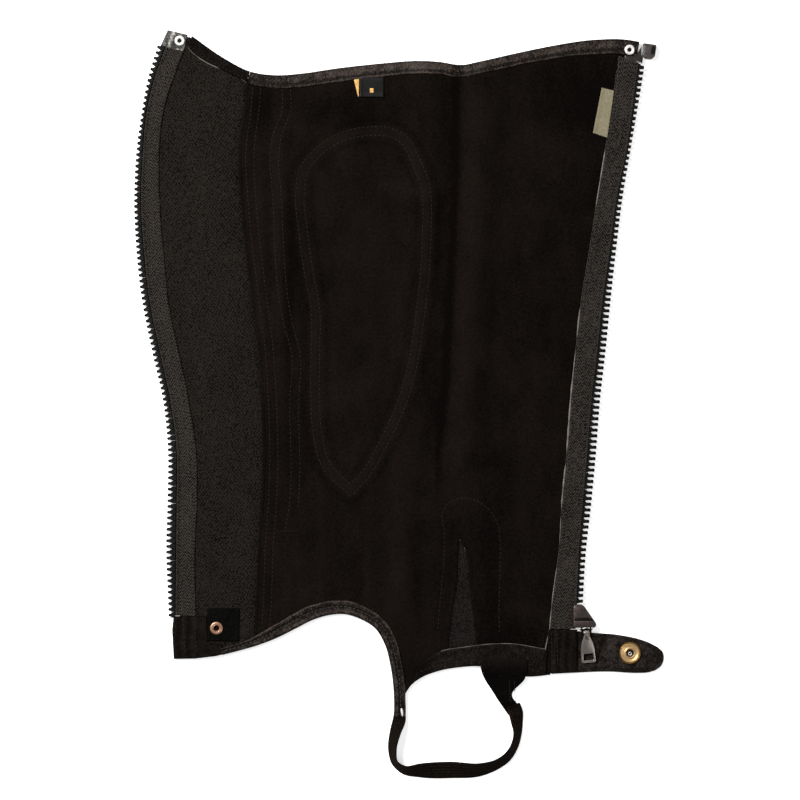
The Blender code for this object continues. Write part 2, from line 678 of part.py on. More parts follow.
def make_slider():
    """Two plates with rims on a post, a cap on top, and the loop that holds the tab."""
    metal = finish("gunmetal", (0.20, 0.19, 0.19), 0.35, 1.0)
    outline = np.asarray(SLIDER, float)
    left_rim = [(121.8, -155.4), (122.9, -155.4), (122.9, -141.2), (121.8, -142.0)]
    right_rim = [(130.4, -142.8), (129.3, -143.4), (136.2, -153.9), (137.7, -153.4)]
    post = [(129.4, -149.8), (128.9, -153.8), (132.4, -153.8), (131.2, -149.8)]
    cap = [(122.9, -150.2), (123.1, -142.2), (127.8, -142.0), (134.0, -150.2)]
    lip = [(122.6, -155.4), (122.6, -151.6), (135.6, -151.6), (136.9, -155.3)]
    plates = [
        prism("slider", outline, 0.0, PLATE, metal),
        prism("top", outline, CHANNEL_HIGH, CHANNEL_HIGH + PLATE, metal, inset=0.3),
        prism("post", post, PLATE - 0.4, CHANNEL_HIGH + 0.4, metal),
        prism("cap", cap, CHANNEL_HIGH + 0.5, 9.3, metal, inset=0.9),
        prism("lip", lip, CHANNEL_HIGH + 0.5, 8.5, metal, inset=0.5),
    ]
    for rim in (left_rim, right_rim):
        plates.append(prism("rim", rim, PLATE - 0.4, RIM_LOW, metal))
        plates.append(prism("rim", rim, RIM_HIGH, CHANNEL_HIGH + 0.4, metal))
    along = np.array([math.sin(TAB_LEAN), -math.cos(TAB_LEAN)])
    across = np.array([math.cos(TAB_LEAN), math.sin(TAB_LEAN)])
    for near in (-3.6, 2.6):
        arm = [
            np.array(PIVOT) + u * along + v * across
            for u, v in ((-5.0, near), (0.55, near), (0.55, near + 1.0), (-5.0, near + 1.0))
        ]
        plates.append(prism("arm", arm, PIVOT_HEIGHT - 0.5, PIVOT_HEIGHT + 0.5, metal))
    sides = 10
    bar = []
    for v in (-3.2, 3.2):
        angles = np.arange(sides) * 2 * math.pi / sides
        centre = np.array([*(np.array(PIVOT) + v * across), PIVOT_HEIGHT])
        ring = [centre + 0.7 * (np.array([*along, 0]) * math.cos(a) + np.array([0, 0, math.sin(a)]))
                for a in angles]
        bar.append(ring)
    plates.append(lofted("bar", bar, metal))
    return joined(plates)


EYE_OUTER, EYE_HOLE, EYE_WIDTH = 1.75, 1.1, 4.0
TAB_THICK = 1.6


def make_pull_tab():
    """The pull tab: an eye round the slider's loop, a neck, and a plate with a window."""
    metal = finish("pull metal", (0.30, 0.29, 0.29), 0.3, 1.0)
    origin = (*PIVOT, PIVOT_HEIGHT)
    sides = 16
    angles = np.arange(sides) * 2 * math.pi / sides
    half = EYE_WIDTH / 2

    def rod(radius, low, high):
        return [
            [tab_frame(radius * math.cos(a), v, radius * math.sin(a)) for a in angles]
            for v in (low, high)
        ]

    def slab(outline, low, high):
        return [[tab_frame(u, v, w) for u, v in outline] for w in (low, high)]

    thin = TAB_THICK / 2
    neck = [(1.35, -half), (5.2, -half), (5.2, half), (1.35, half)]
    plate = [
        (4.0, -2.9), (5.4, -4.1), (20.6, -5.2), (21.5, -4.4), (21.6, 4.3), (20.7, 5.2),
        (5.4, 4.1), (4.0, 2.9),
    ]
    window = [(15.0, -3.2), (15.0, 3.3), (19.8, 3.7), (19.8, -3.5)]
    made = lofted("pull_tab", rod(EYE_OUTER, -half, half), metal, origin)
    boolean(made, lofted("neck", slab(neck, -thin, thin), metal, origin), "UNION")
    boolean(made, lofted("plate", slab(plate, -thin, thin), metal, origin), "UNION")
    boolean(made, lofted("hole", rod(EYE_HOLE, -half - 1, half + 1), None, origin), "DIFFERENCE")
    boolean(made, lofted("window", slab(window, -3, 3), None, origin), "DIFFERENCE")
    return made


def make_retainer():
    """The separating end's box with its pin, at the top of the right tooth row."""
    plastic = finish("black plastic", (0.022, 0.021, 0.021), 0.4)
    box = [(169.3, 243.1), (178.3, 242.0), (180.0, 251.0), (170.8, 252.2)]
    pin = [(168.9, 238.1), (170.1, 238.1), (170.9, 244.4), (169.9, 244.6)]
    return joined([
        prism("retainer_box", box, 0.3, 6.8, plastic, inset=0.8),
        prism("pin", pin, 2.6, 4.2, plastic),
    ])


Station = namedtuple("Station", "x y width")  # width is what shows from above
RIBBON_WIDE, RIBBON_THICK = 12.0, 1.5
RIBBON = (
    Station(0.4, -220.6, 9.6), Station(-2.4, -228.9, 7.6), Station(-4.6, -241.9, 5.6),
    Station(-2.9, -250.6, 4.6), Station(3.4, -255.6, 6.4), Station(15.4, -256.2, 10.3),
    Station(35.7, -256.0, 11.7), Station(57.8, -255.4, 9.4), Station(68.6, -251.7, 7.4),
    Station(74.9, -247.5, 6.7), Station(80.5, -239.4, 5.6), Station(82.8, -229.4, 6.0),
    Station(82.0, -224.2, 8.0),
)
WING_OUTLINE = [
    (57.0, -183.5), (67.1, -203.8), (78.4, -220.5), (84.7, -222.6), (85.4, -215.2),
    (79.1, -203.8), (88.3, -191.4), (90.1, -178.5), (73.0, -177.6), (57.3, -176.4),
]
WING_FALL = 13.0  # beyond the hem, where the wing comes down to the floor


def over_hem(x, y):
    """The lie under the wing: on the facing, and down to the floor beyond the hem."""
    edge = smooth(HEM_LINE[:, 0], HEM_LINE[:, 1], x)
    stack = SUEDE + LAYER + FACING + GAP
    return lie(x, y) + stack * fade((edge - 1.2 - y) / WING_FALL)


def make_stirrup():
    """The wing on the hem and the elastic loop, which stands on its edge at the sides."""
    suede = finish("wing suede", (0.014, 0.012, 0.011), 0.95)
    elastic = finish("elastic", (0.032, 0.029, 0.027), 0.8)
    wing = np.vstack([
        curve(WING_OUTLINE[:4], 6.0), curve(WING_OUTLINE[3:6], 6.0)[1:],
        curve(WING_OUTLINE[5:7], 6.0)[1:], curve(WING_OUTLINE[6:8], 6.0)[1:],
        curve(WING_OUTLINE[7:], 8.0)[1:], curve([WING_OUTLINE[-1], WING_OUTLINE[0]], 5.0)[1:-1],
    ])
    cloth("stirrup_wing", wing, 0, WING, suede, under=over_hem, cell=(5.0, 4.0))
    points = np.array([(row.x, row.y) for row in RIBBON])
    along = np.r_[0, np.cumsum(np.hypot(*np.diff(points, axis=0).T))]
    at = np.linspace(0, along[-1], 29)
    x, y = smooth(along, points[:, 0], at), smooth(along, points[:, 1], at)
    shown = smooth(along, [row.width for row in RIBBON], at)
    roll = np.arccos(np.clip(shown / RIBBON_WIDE, 0, 1))
    normals = inward(np.column_stack([x, y]))
    rings = []
    for px, py, normal, angle in zip(x, y, normals, roll):
        wide = np.array([*(normal * math.cos(angle)), math.sin(angle)]) * RIBBON_WIDE / 2
        thin = np.array([*(-normal * math.sin(angle)), math.cos(angle)]) * RIBBON_THICK / 2
        middle = np.array([px, py, 0])
        ring = np.array([middle - wide - thin, middle + wide - thin, middle + wide + thin,
                         middle - wide + thin])
        ring[:, 2] -= ring[:, 2].min()
        rings.append(ring)
    lofted("stirrup_elastic", rings, elastic)


def make_labels():
    """The labels at the top edge and the one at the right tape."""
    satin = finish("black satin", (0.012, 0.011, 0.011), 0.5)
    gold = finish("gold thread", (0.55, 0.34, 0.10), 0.6)
    tan = finish("tan weave", (0.24, 0.22, 0.17), 0.8)
    size = [(-27.6, 228.0), (-27.4, 214.8), (-10.8, 214.6), (-10.8, 228.4)]
    cloth("size_label", size, RIGHT_LEVEL, LABEL, satin)
    back = [(-31.5, 227.0), (-28.8, 215.2), (-28.0, 215.2), (-28.0, 227.8)]
    cloth("size_label_back", back, RIGHT_LEVEL, LABEL, gold)
    ends = side("right_inner", np.array([186.3, 219.1])) - 0.4
    woven = [(141.8, 221.3), (135.7, 189.7), (ends[0], 186.3), (ends[1], 219.1)]
    cloth("side_label", woven, RIGHT_LEVEL, LABEL, tan)


def main():
    """Clears the scene and makes every piece."""
    for old in list(bpy.data.objects):
        bpy.data.objects.remove(old)
    leather, stretch = make_panels()
    top_binding = make_bindings()
    left_film = make_zip()
    make_fasteners(leather, stretch, top_binding, left_film)
    make_tabs()
    make_strap()
    make_slider()
    make_pull_tab()
    make_retainer()
    make_stirrup()
    make_labels()


main()
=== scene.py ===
"""A half chap, unzipped and laid flat with its suede side up, as a camera above it sees it.

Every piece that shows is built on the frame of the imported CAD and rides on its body.
Sizes are in millimetres of the laid-out garment: +Y runs from the instep arch to the
top edge, +X from the knitted panel to the leather edge, and z = 0 is the floor.
"""

import logging
import math
from collections.abc import Callable, Sequence
from dataclasses import dataclass, field
from enum import Enum, IntEnum

import bmesh
import bpy
import numpy as np
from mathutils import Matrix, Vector

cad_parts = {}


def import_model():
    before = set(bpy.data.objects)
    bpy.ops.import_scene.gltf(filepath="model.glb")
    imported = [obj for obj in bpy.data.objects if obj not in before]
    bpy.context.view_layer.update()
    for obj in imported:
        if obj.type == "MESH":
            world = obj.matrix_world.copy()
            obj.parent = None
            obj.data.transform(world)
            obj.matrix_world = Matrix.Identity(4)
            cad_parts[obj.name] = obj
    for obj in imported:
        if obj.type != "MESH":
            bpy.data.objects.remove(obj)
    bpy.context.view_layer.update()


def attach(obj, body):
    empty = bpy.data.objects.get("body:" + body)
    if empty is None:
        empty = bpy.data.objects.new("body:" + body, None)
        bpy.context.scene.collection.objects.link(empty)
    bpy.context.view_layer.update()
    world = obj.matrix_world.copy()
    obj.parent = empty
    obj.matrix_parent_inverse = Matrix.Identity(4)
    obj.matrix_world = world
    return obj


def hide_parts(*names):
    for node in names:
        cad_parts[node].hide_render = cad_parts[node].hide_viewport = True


log = logging.getLogger("half_chap")

Array = np.ndarray
Pair = tuple[float, float]
Triple = tuple[float, float, float]
Table = tuple[tuple[float, ...], tuple[float, ...]]  # places, and the values there
Socket = bpy.types.NodeSocket
Material = bpy.types.Material
MM = 0.001
MIDDLE = np.array([0.0, -0.35, 0.0])  # middle of the laid-out garment

GAP = 0.3  # between pieces
LAYER = 0.42  # between a panel and what lies on it
BINDING = 1.0  # leather that is folded round an edge
BOUND_EDGE = 1.6  # from a binding's outer edge to the panel inside it
UNDER_TAPE = 3.5  # from a tape's outer edge to the panel below it
# Thicknesses.
SUEDE, STRETCH, TAPE, FILM = 1.8, 1.2, 1.0, 0.8
FACING, TAB, STRAP, LABEL, WING = 1.0, 1.3, 2.2, 0.6, 1.2
# Levels above the lie.
LEFT_LEVEL = STRETCH + LAYER  # what lies on the knitted panel
RIGHT_LEVEL = SUEDE + LAYER  # what lies on the leather


# ---------------------------------------------------------------- the pattern


class Column(IntEnum):
    """Columns of SIDES, after the height y."""

    LEFT_TEETH = 1
    LEFT_TAPE = 2
    LEFT_INNER = 3
    SEAM = 4
    RIGHT_INNER = 5
    RIGHT_TAPE = 6
    RIGHT_TEETH = 7


SIDES = np.array([
    (-172.2, -160.5, -157.0, -142.0, -101.4, 104.6, 122.6, 126.6),
    (-137.2, -161.5, -156.8, -142.5, -99.1, 107.8, 124.6, 128.6),
    (-102.2, -162.9, -156.4, -142.8, -98.0, 112.4, 126.4, 130.8),
    (-67.2, -162.0, -156.1, -141.4, -95.6, 114.6, 129.3, 134.7),
    (-32.2, -161.7, -156.1, -142.1, -94.6, 118.0, 132.3, 137.9),
    (2.8, -165.2, -160.6, -147.1, -95.7, 120.6, 135.1, 140.6),
    (37.8, -172.9, -168.0, -154.4, -97.8, 124.1, 139.3, 144.5),
    (72.8, -179.9, -175.1, -161.5, -102.2, 128.0, 143.0, 148.0),
    (107.8, -183.8, -179.0, -164.9, -106.6, 133.7, 148.1, 151.8),
    (142.8, -185.3, -181.0, -167.5, -110.0, 139.1, 152.5, 156.1),
    (177.8, -183.6, -179.6, -167.7, -111.3, 144.8, 159.6, 161.9),
    (205.8, -179.7, -176.8, -164.5, -107.8, 149.0, 163.8, 166.6),
    (226.8, -175.8, -171.9, -158.2, -105.9, 151.9, 166.3, 170.1),
    (247.8, -169.4, -164.5, -150.2, -100.0, 154.4, 169.4, 172.9),
])
TOP_EDGE = np.array([
    (168.1, 253.4), (158.8, 254.9), (134.6, 254.5), (107.9, 250.3), (81.1, 244.7),
    (57.0, 239.1), (44.9, 236.7), (27.5, 238.7), (14.1, 239.3), (-14.2, 237.3),
    (-41.0, 234.2), (-67.8, 230.2), (-86.5, 229.0), (-104.0, 231.6), (-121.9, 240.8),
    (-145.7, 258.1),
])
ARCH_EDGE = np.array([
    (-123.5, -175.6), (-113.3, -173.0), (-97.2, -168.3), (-83.9, -163.0), (-71.8, -156.9),
    (-59.7, -150.9), (-47.7, -147.6), (-38.3, -147.1), (-27.6, -150.2), (-16.9, -156.9),
    (-10.2, -167.7), (-6.2, -182.4), (-3.8, -201.1), (-3.5, -218.5),
])
HEM_EDGE = np.array([
    (5.0, -201.8), (8.1, -197.1), (16.2, -191.1), (26.9, -187.0), (43.0, -184.1),
    (57.0, -183.5), (72.0, -186.8), (88.5, -190.6), (106.6, -189.4),
])
GUSSET_EDGE = np.array([
    (42.8, -92.4), (39.8, -108.1), (39.6, -121.8), (36.4, -141.4), (33.5, -165.9),
    (32.8, -174.6), (56.8, -174.6), (56.0, -168.8), (54.0, -151.2), (51.1, -131.6),
    (50.1, -115.9), (45.2, -97.3),
])
FACING_TOP = np.array([
    (13.0, -185.4), (20.5, -178.0), (28.9, -173.1), (45.7, -170.0), (64.3, -167.8),
    (81.2, -167.8), (94.5, -170.0), (103.6, -171.6),
])
POST = (-127.6, -156.6)
SOCKET = (161.4, -174.0)
RIVET_LEFT = (-153.4, 254.0)
RIVET_RIGHT = (161.1, 247.5)
SLIDER_SPOT = (124.5, -148.0)
RIVET_CUT, POST_CUT, SOCKET_CUT = 2.4, 3.4, 4.6  # radii of the cloth's holes round the shanks
FILM_CUT = 1.75  # the same in the film


def smooth(xs: Sequence[float], ys: Sequence[float], at: Array) -> Array:
    """A cubic through the points, with each slope the mean of its neighbours'.

    Args:
        xs: rising places of the points.
        ys: their values.
        at: where the curve is wanted.

    Returns:
        The values at those places.
    """
    xs, ys, at = np.asarray(xs, float), np.asarray(ys, float), np.asarray(at, float)
    slopes = np.gradient(ys, xs)
    k = np.clip(np.searchsorted(xs, at) - 1, 0, len(xs) - 2)
    span = xs[k + 1] - xs[k]
    t = (at - xs[k]) / span
    start = (1 + 2 * t) * (1 - t) ** 2 * ys[k] + t * (1 - t) ** 2 * span * slopes[k]
    end = t * t * (3 - 2 * t) * ys[k + 1] + t * t * (t - 1) * span * slopes[k + 1]
    return start + end


def length_along(line: Array) -> Array:
    """Distance of each point from the line's start, measured along it."""
    return np.r_[0, np.cumsum(np.linalg.norm(np.diff(line, axis=0), axis=1))]


def curve(points: Array, step: float = 2.0, count: int = 0) -> Array:
    """Even points on a smooth curve through the given ones.

    Args:
        points: the points it runs through.
        step: distance between the even points.
        count: number of even points, in place of the step.

    Returns:
        The points, one a row.
    """
    p = np.asarray(points, float)
    along = length_along(p)
    count = count or max(2, round(along[-1] / step) + 1)
    at = np.linspace(0, along[-1], count)
    return np.column_stack([smooth(along, axis, at) for axis in p.T])


def straight(points: Array, count: int) -> Array:
    """Even points on the straight lines between the given ones."""
    p = np.asarray(points, float)
    along = length_along(p)
    at = np.linspace(0, along[-1], count)
    return np.column_stack([np.interp(at, along, axis) for axis in p.T])


def inward(line: Array) -> Array:
    """Unit normals to the left of the line's direction."""
    run = np.gradient(line, axis=0)
    run /= np.hypot(run[:, 0], run[:, 1])[:, None]
    return np.column_stack([-run[:, 1], run[:, 0]])


def steadied(normals: Array, reach: int) -> Array:
    """Normals as the mean of those up to a few points before and after, and unit again."""
    weights = np.hanning(2 * reach + 3)[1:-1]
    padded = np.pad(normals, ((reach, reach), (0, 0)), mode="edge")
    weights /= weights.sum()
    mean = np.column_stack([np.convolve(axis, weights, "valid") for axis in padded.T])
    return mean / np.linalg.norm(mean, axis=1)[:, None]


def fade(t: Array) -> Array:
    """1 up to t = 0, 0 from t = 1, and smooth between."""
    t = np.clip(t, 0, 1)
    return 1 - t * t * (3 - 2 * t)


def bell(away: Array, reach: float) -> Array:
    """1 at no distance, falling to both sides: exp(-(away / reach)^2)."""
    return np.exp(-((away / reach) ** 2))


def spots(x: Array, y: Array, rows: Sequence[tuple[float, ...]]) -> Array:
    """A sum of oval bells, each given by its middle, its reach in x and y, and its amount."""
    return sum(amount * bell(x - px, rx) * bell(y - py, ry) for px, py, rx, ry, amount in rows)


def nearest(line: Array, x: Array, y: Array) -> tuple[Array, Array]:
    """The nearest point of a polyline to each point.

    Args:
        line: the polyline.
        x: x of the points.
        y: y of the points.

    Returns:
        The distances, and the nearest points.
    """
    start, run = line[:-1], np.diff(line, axis=0)
    spot = np.stack([x, y], -1)[..., None, :]
    t = np.clip(((spot - start) * run).sum(-1) / np.maximum((run * run).sum(-1), 1e-9), 0, 1)
    at = start + t[..., None] * run
    away = np.sqrt(((spot - at) ** 2).sum(-1))
    best = away.argmin(-1)[..., None]
    return (
        np.take_along_axis(away, best, -1)[..., 0],
        np.take_along_axis(at, best[..., None], -2)[..., 0, :],
    )


def inside(outline: Array, x: Array, y: Array) -> Array:
    """Which points lie in the closed outline: an odd number of edges to one side.

    Args:
        outline: its points in order.
        x: x of the points.
        y: y of the points.

    Returns:
        True for those inside.
    """
    x, y = x[..., None], y[..., None]
    x0, y0 = outline[:, 0], outline[:, 1]
    x1, y1 = np.roll(x0, -1), np.roll(y0, -1)
    crosses = (y0 > y) != (y1 > y)
    rise = np.where(y1 == y0, 1e-9, y1 - y0)
    return (crosses & (x < (x1 - x0) * (y - y0) / rise + x0)).sum(-1) % 2 == 1


def waves(x: Array, y: Array, lengths: Sequence[float], seed: int) -> Array:
    """Soft uneven heights from -1 to 1.

    A mean of sines in turned directions, each bent by a slower sine across it.

    Args:
        x: x of the points.
        y: y of the points.
        lengths: wave lengths in millimetres.
        seed: of the directions.

    Returns:
        The heights.
    """
    rng = np.random.default_rng(seed)
    total = np.zeros(np.shape(x))
    for size in lengths:
        turn, phase, bend = rng.uniform(0, 2 * math.pi, 3)
        across = x * math.cos(turn) + y * math.sin(turn)
        beside = y * math.cos(turn) - x * math.sin(turn)
        swing = 1.5 * np.sin(2 * math.pi * beside / (1.7 * size) + bend)
        total = total + np.sin(2 * math.pi * across / size + phase + swing)
    return total / len(lengths)


@dataclass(frozen=True)
class Fold:
    """A soft ridge in the cloth, from one point to another."""

    start: Pair
    stop: Pair
    reach: float
    rise: float
    end: float

    def height(self, x: Array, y: Array) -> Array:
        """A raised cosine across the fold, eased out at both ends.

        Args:
            x: x of the points.
            y: y of the points.

        Returns:
            The heights.
        """
        run = np.subtract(self.stop, self.start)
        length = np.hypot(*run)
        run = run / length
        along = (x - self.start[0]) * run[0] + (y - self.start[1]) * run[1]
        across = (x - self.start[0]) * run[1] - (y - self.start[1]) * run[0]
        crest = np.cos(np.clip(across / self.reach, -1, 1) * math.pi / 2) ** 2
        ends = fade(1 - along / self.end) * fade(1 - (length - along) / self.end)
        return self.rise * crest * ends


@dataclass(frozen=True)
class Lift:
    """A round place where the cloth stands on something below it."""

    spot: Pair
    flat: float
    fade: float
    rise: float

    def height(self, x: Array, y: Array) -> Array:
        """Level out to the flat radius, and eased down beyond it."""
        away = np.hypot(x - self.spot[0], y - self.spot[1])
        return self.rise * fade((away - self.flat) / self.fade)


@dataclass(frozen=True)
class Pattern:
    """The lie of the garment: its two long sides, its edges, folds and lifts."""

    folds: tuple[Fold, ...] = (
        Fold((23.0, 264.0), (6.0, -84.0), 20.0, 4.4, 62.0),
        Fold((63.0, 262.0), (47.0, -62.0), 21.5, 4.8, 60.0),
        Fold((0.5, -70.0), (2.0, -166.0), 13.0, 2.8, 42.0),
        Fold((30.0, -64.0), (24.0, -170.0), 12.0, 2.4, 34.0),
        Fold((66.0, -62.0), (69.0, -168.0), 15.0, 2.2, 44.0),
        Fold((-20.0, 196.0), (-26.0, -60.0), 34.0, 1.6, 70.0),
        Fold((-82.0, 214.0), (-70.0, -20.0), 20.0, 1.8, 60.0),
        Fold((-134.0, 220.0), (-118.0, -110.0), 23.0, 1.7, 80.0),
        Fold((112.0, 214.0), (88.0, -40.0), 24.0, 1.4, 90.0),
    )
    lifts: tuple[Lift, ...] = (
        Lift(POST, 7.0, 14.0, 2.0),
        Lift(SOCKET, 9.0, 12.0, 1.5),
        Lift(RIVET_LEFT, 8.0, 16.0, 1.3),
        Lift(RIVET_RIGHT, 8.0, 24.0, 2.3),
        Lift(SLIDER_SPOT, 9.0, 22.0, 1.7),
    )
    edge_lift: float = BINDING + GAP
    edge_flat: float = 9.0
    edge_fade: float = 16.0
    top: Array = field(default_factory=lambda: curve(TOP_EDGE, 9.0))
    arch: Array = field(default_factory=lambda: curve(ARCH_EDGE, 7.5))
    hem: Array = field(default_factory=lambda: curve(HEM_EDGE, 9.0))

    def side(self, column: Column, y: Array) -> Array:
        """x of one column of SIDES at the heights y."""
        return smooth(SIDES[:, 0], SIDES[:, column], y)

    def strip(self, column: Column, shift: float, y: Array) -> Array:
        """Points of one column at the heights y, moved by shift in x."""
        return np.column_stack([self.side(column, y) + shift, y])

    def lie(self, x: Array, y: Array) -> Array:
        """Height of the cloth's underside above the floor.

        The highest of the bound edges' and fasteners' lifts, and the folds on it.

        Args:
            x: x of the points.
            y: y of the points.

        Returns:
            The heights.
        """
        x, y = np.asarray(x, float), np.asarray(y, float)
        lifts = [
            self.edge_lift * fade((nearest(line, x, y)[0] - self.edge_flat) / self.edge_fade)
            for line in (self.top, self.arch)
        ]
        lifts += [lift.height(x, y) for lift in self.lifts]
        return np.maximum.reduce(lifts) + sum(fold.height(x, y) for fold in self.folds)

    def above(self, level: float) -> Callable[[Array, Array], Array]:
        """The height of what lies a level above the lie."""
        return lambda x, y: self.lie(x, y) + level

    def raised(self, line: Array, level: float) -> Array:
        """A line of the plan in space, a level above the lie."""
        return np.column_stack([line, self.lie(line[:, 0], line[:, 1]) + level])

    def over_hem(self, x: Array, y: Array) -> Array:
        """The lie under the wing: on the facing, and down to the floor beyond the hem."""
        edge = smooth(self.hem[:, 0], self.hem[:, 1], x)
        stack = SUEDE + LAYER + FACING + GAP
        return self.lie(x, y) + stack * fade((edge - 1.2 - y) / 13.0)


PATTERN = Pattern()


def clear_of(middle: Array, holes: Sequence[tuple[Pair, float]]) -> Array:
    """Which middles of quads lie outside every round hole, each a middle and a radius."""
    away = [np.hypot(middle[..., 0] - spot[0], middle[..., 1] - spot[1]) > radius for spot, radius in holes]
    return np.logical_and.reduce([np.ones(middle.shape[:2], bool), *away])


# ---------------------------------------------------------------- meshes


def grid_faces(rows: int, columns: int, closed: bool = False) -> Array:
    """The quads of a grid of points; a closed one joins its last column to its first."""
    index = np.arange(rows * columns).reshape(rows, columns)
    if closed:
        index = np.hstack([index, index[:, :1]])
    corners = (index[:-1, :-1], index[:-1, 1:], index[1:, 1:], index[1:, :-1])
    return np.stack(corners, -1).reshape(-1, 4)


def patch(bottom: Array, right: Array, top: Array, left: Array) -> Array:
    """A grid of plan points between four edges.

    Each point is the sum of the mix of its two rows' ends and the mix of its two
    columns' ends, less the mix of the four corners.

    Args:
        bottom: points of the lower edge, from left to right.
        right: points of the right edge, from the bottom up.
        top: points of the upper edge, as many as the lower one's.
        left: points of the left edge, as many as the right one's.

    Returns:
        The points, as rows from the bottom up.
    """
    u = np.linspace(0, 1, len(bottom))[None, :, None]
    v = np.linspace(0, 1, len(left))[:, None, None]
    rows = (1 - v) * bottom[None] + v * top[None]
    columns = (1 - u) * left[:, None] + u * right[:, None]
    low = (1 - u) * bottom[0] + u * bottom[-1]
    high = (1 - u) * top[0] + u * top[-1]
    return rows + columns - (1 - v) * low - v * high


def quad(corners: Sequence[Pair], columns: int, rows: int) -> Array:
    """A grid between corners at the lower left and right and the upper right and left."""
    a, b, c, d = corners
    low, high = straight([a, b], columns), straight([d, c], columns)
    return patch(low, straight([b, c], rows), high, straight([a, d], rows))


def by_x(points: Sequence[Pair], xs: Array) -> Array:
    """Points of a line of rising x, at the given x."""
    p = np.asarray(points, float)
    return np.column_stack([xs, np.interp(xs, p[:, 0], p[:, 1])])


class Skin:
    """Points and faces that are gathered for one mesh."""

    def __init__(self) -> None:
        """Starts with nothing gathered."""
        self.points: list[Array] = []
        self.faces: list[Array] = []
        self.uv: list[Array] = []
        self.slots: list[Array] = []
        self.tones: list[Array] = []
        self.count = 0

    def add(
        self, points: Array, faces: Sequence[Array], uv: Array | None = None, slots: Sequence[int] = (0,),
        tone: Array | float = 0.0,
    ) -> None:
        """Adds points and the faces between them.

        Args:
            points: the points in millimetres.
            faces: arrays of faces, each of one number of corners.
            uv: a place on the cloth in metres for each point.
            slots: material slot of each array of faces.
            tone: how much lighter or darker the finish is at each point.
        """
        points = np.asarray(points, float).reshape(-1, 3)
        self.points.append(points)
        self.uv.append(points[:, :2] * MM if uv is None else np.reshape(uv, (-1, 2)))
        self.tones.append(np.broadcast_to(np.ravel(tone), (len(points),)))
        for array, slot in zip(faces, slots, strict=False):
            self.faces.append(np.asarray(array) + self.count)
            self.slots.append(np.full(len(array), slot))
        self.count += len(points)

    def shell(
        self, plan: Array, top: Array, low: Array, keep: Array | None = None, uv: Array | None = None,
        tone: Array | float = 0.0, slots: Sequence[int] = (0, 1, 0),
    ) -> None:
        """Adds a closed wall between two grids of points, with sides at every free edge.

        Args:
            plan: grid of plan points.
            top: height of the upper surface at each.
            low: height of the lower surface.
            keep: which quads are there.
            uv: a place on the cloth for each point of one grid.
            tone: lighter or darker at each point of one grid.
            slots: material slots of the top, the underside and the sides.
        """
        rows, columns = plan.shape[:2]
        quads = grid_faces(rows, columns)
        if keep is not None:
            quads = quads[np.ravel(keep)]
        count = rows * columns
        ends = np.roll(quads, -1, axis=1)
        free = ~np.isin((quads * count + ends).ravel(), (ends * count + quads).ravel())
        a, b = quads.ravel()[free], ends.ravel()[free]
        rim = np.stack([b, a, a + count, b + count], -1)
        points = np.concatenate([np.dstack([plan, z]).reshape(-1, 3) for z in (top, low)])
        if uv is not None:
            uv = np.concatenate([np.reshape(uv, (-1, 2))] * 2)
        if np.ndim(tone):
            tone = np.concatenate([np.ravel(tone)] * 2)
        self.add(points, [quads, quads[:, ::-1] + count, rim], uv, slots, tone)

    def sweep(
        self, rings: Array, uv: Array | None = None, capped: bool = True, slot: int = 0,
        tone: Array | float = 0.0,
    ) -> None:
        """Adds a skin through closed rings of points, one ring a row.

        Args:
            rings: the rings' points.
            uv: a place on the cloth for each point.
            capped: whether a fan of triangles closes each end.
            slot: material slot.
            tone: lighter or darker at each point.
        """
        rows, around = rings.shape[:2]
        faces = [grid_faces(rows, around, closed=True)]
        if capped:
            after = np.arange(2, around)
            fan = np.column_stack([0 * after, after - 1, after])
            faces += [fan[:, ::-1], fan + (rows - 1) * around]
        self.add(rings, faces, uv, (slot,) * 3, tone)

    def build(
        self, name: str, materials: Sequence[Material], nodes: Sequence[str] = (), body: str = "chap",
        slot: str = "", sharp: float = 50.0, outward: bool = False,
    ) -> bpy.types.Object:
        """Makes the object, and lets it ride on a body of the frame.

        Args:
            name: of the piece.
            materials: its finishes.
            nodes: the CAD nodes it stands for.
            body: the body it rides on.
            slot: not used.
            sharp: degrees from which an edge is sharp.
            outward: whether the faces are turned outward first.

        Returns:
            The object.
        """
        loops = np.concatenate([np.ravel(f) for f in self.faces])
        totals = np.concatenate([np.full(len(f), f.shape[1]) for f in self.faces])
        used, loops = np.unique(loops, return_inverse=True)
        loops = np.ravel(loops)
        points = (np.vstack(self.points)[used] - MIDDLE) * MM
        mesh = bpy.data.meshes.new(name)
        mesh.vertices.add(len(points))
        mesh.loops.add(len(loops))
        mesh.polygons.add(len(totals))
        mesh.vertices.foreach_set("co", points.ravel())
        mesh.loops.foreach_set("vertex_index", loops.astype(np.int32))
        mesh.polygons.foreach_set("loop_start", np.r_[0, np.cumsum(totals)[:-1]].astype(np.int32))
        mesh.polygons.foreach_set("material_index", np.concatenate(self.slots).astype(np.int32))
        mesh.update(calc_edges=True)
        layer = mesh.uv_layers.new(name="UVMap")
        layer.data.foreach_set("uv", np.vstack(self.uv)[used][loops].ravel())
        tone = mesh.attributes.new("tone", "FLOAT", "POINT")
        tone.data.foreach_set("value", np.concatenate(self.tones)[used].astype(np.float32))
        mesh.validate()
        if outward:
            work = bmesh.new()
            work.from_mesh(mesh)
            bmesh.ops.recalc_face_normals(work, faces=work.faces)
            work.to_mesh(mesh)
            work.free()
        mesh.shade_smooth()
        mesh.set_sharp_from_angle(angle=math.radians(sharp))
        for material in materials:
            mesh.materials.append(material)
        made = bpy.data.objects.new(name, mesh)
        bpy.context.scene.collection.objects.link(made)
        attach(made, body)
        if nodes:
            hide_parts(*nodes)
        log.info("%s: %d points, %d faces", name, len(points), len(totals))
        return made


# ---------------------------------------------------------------- finishes

Colour = Triple


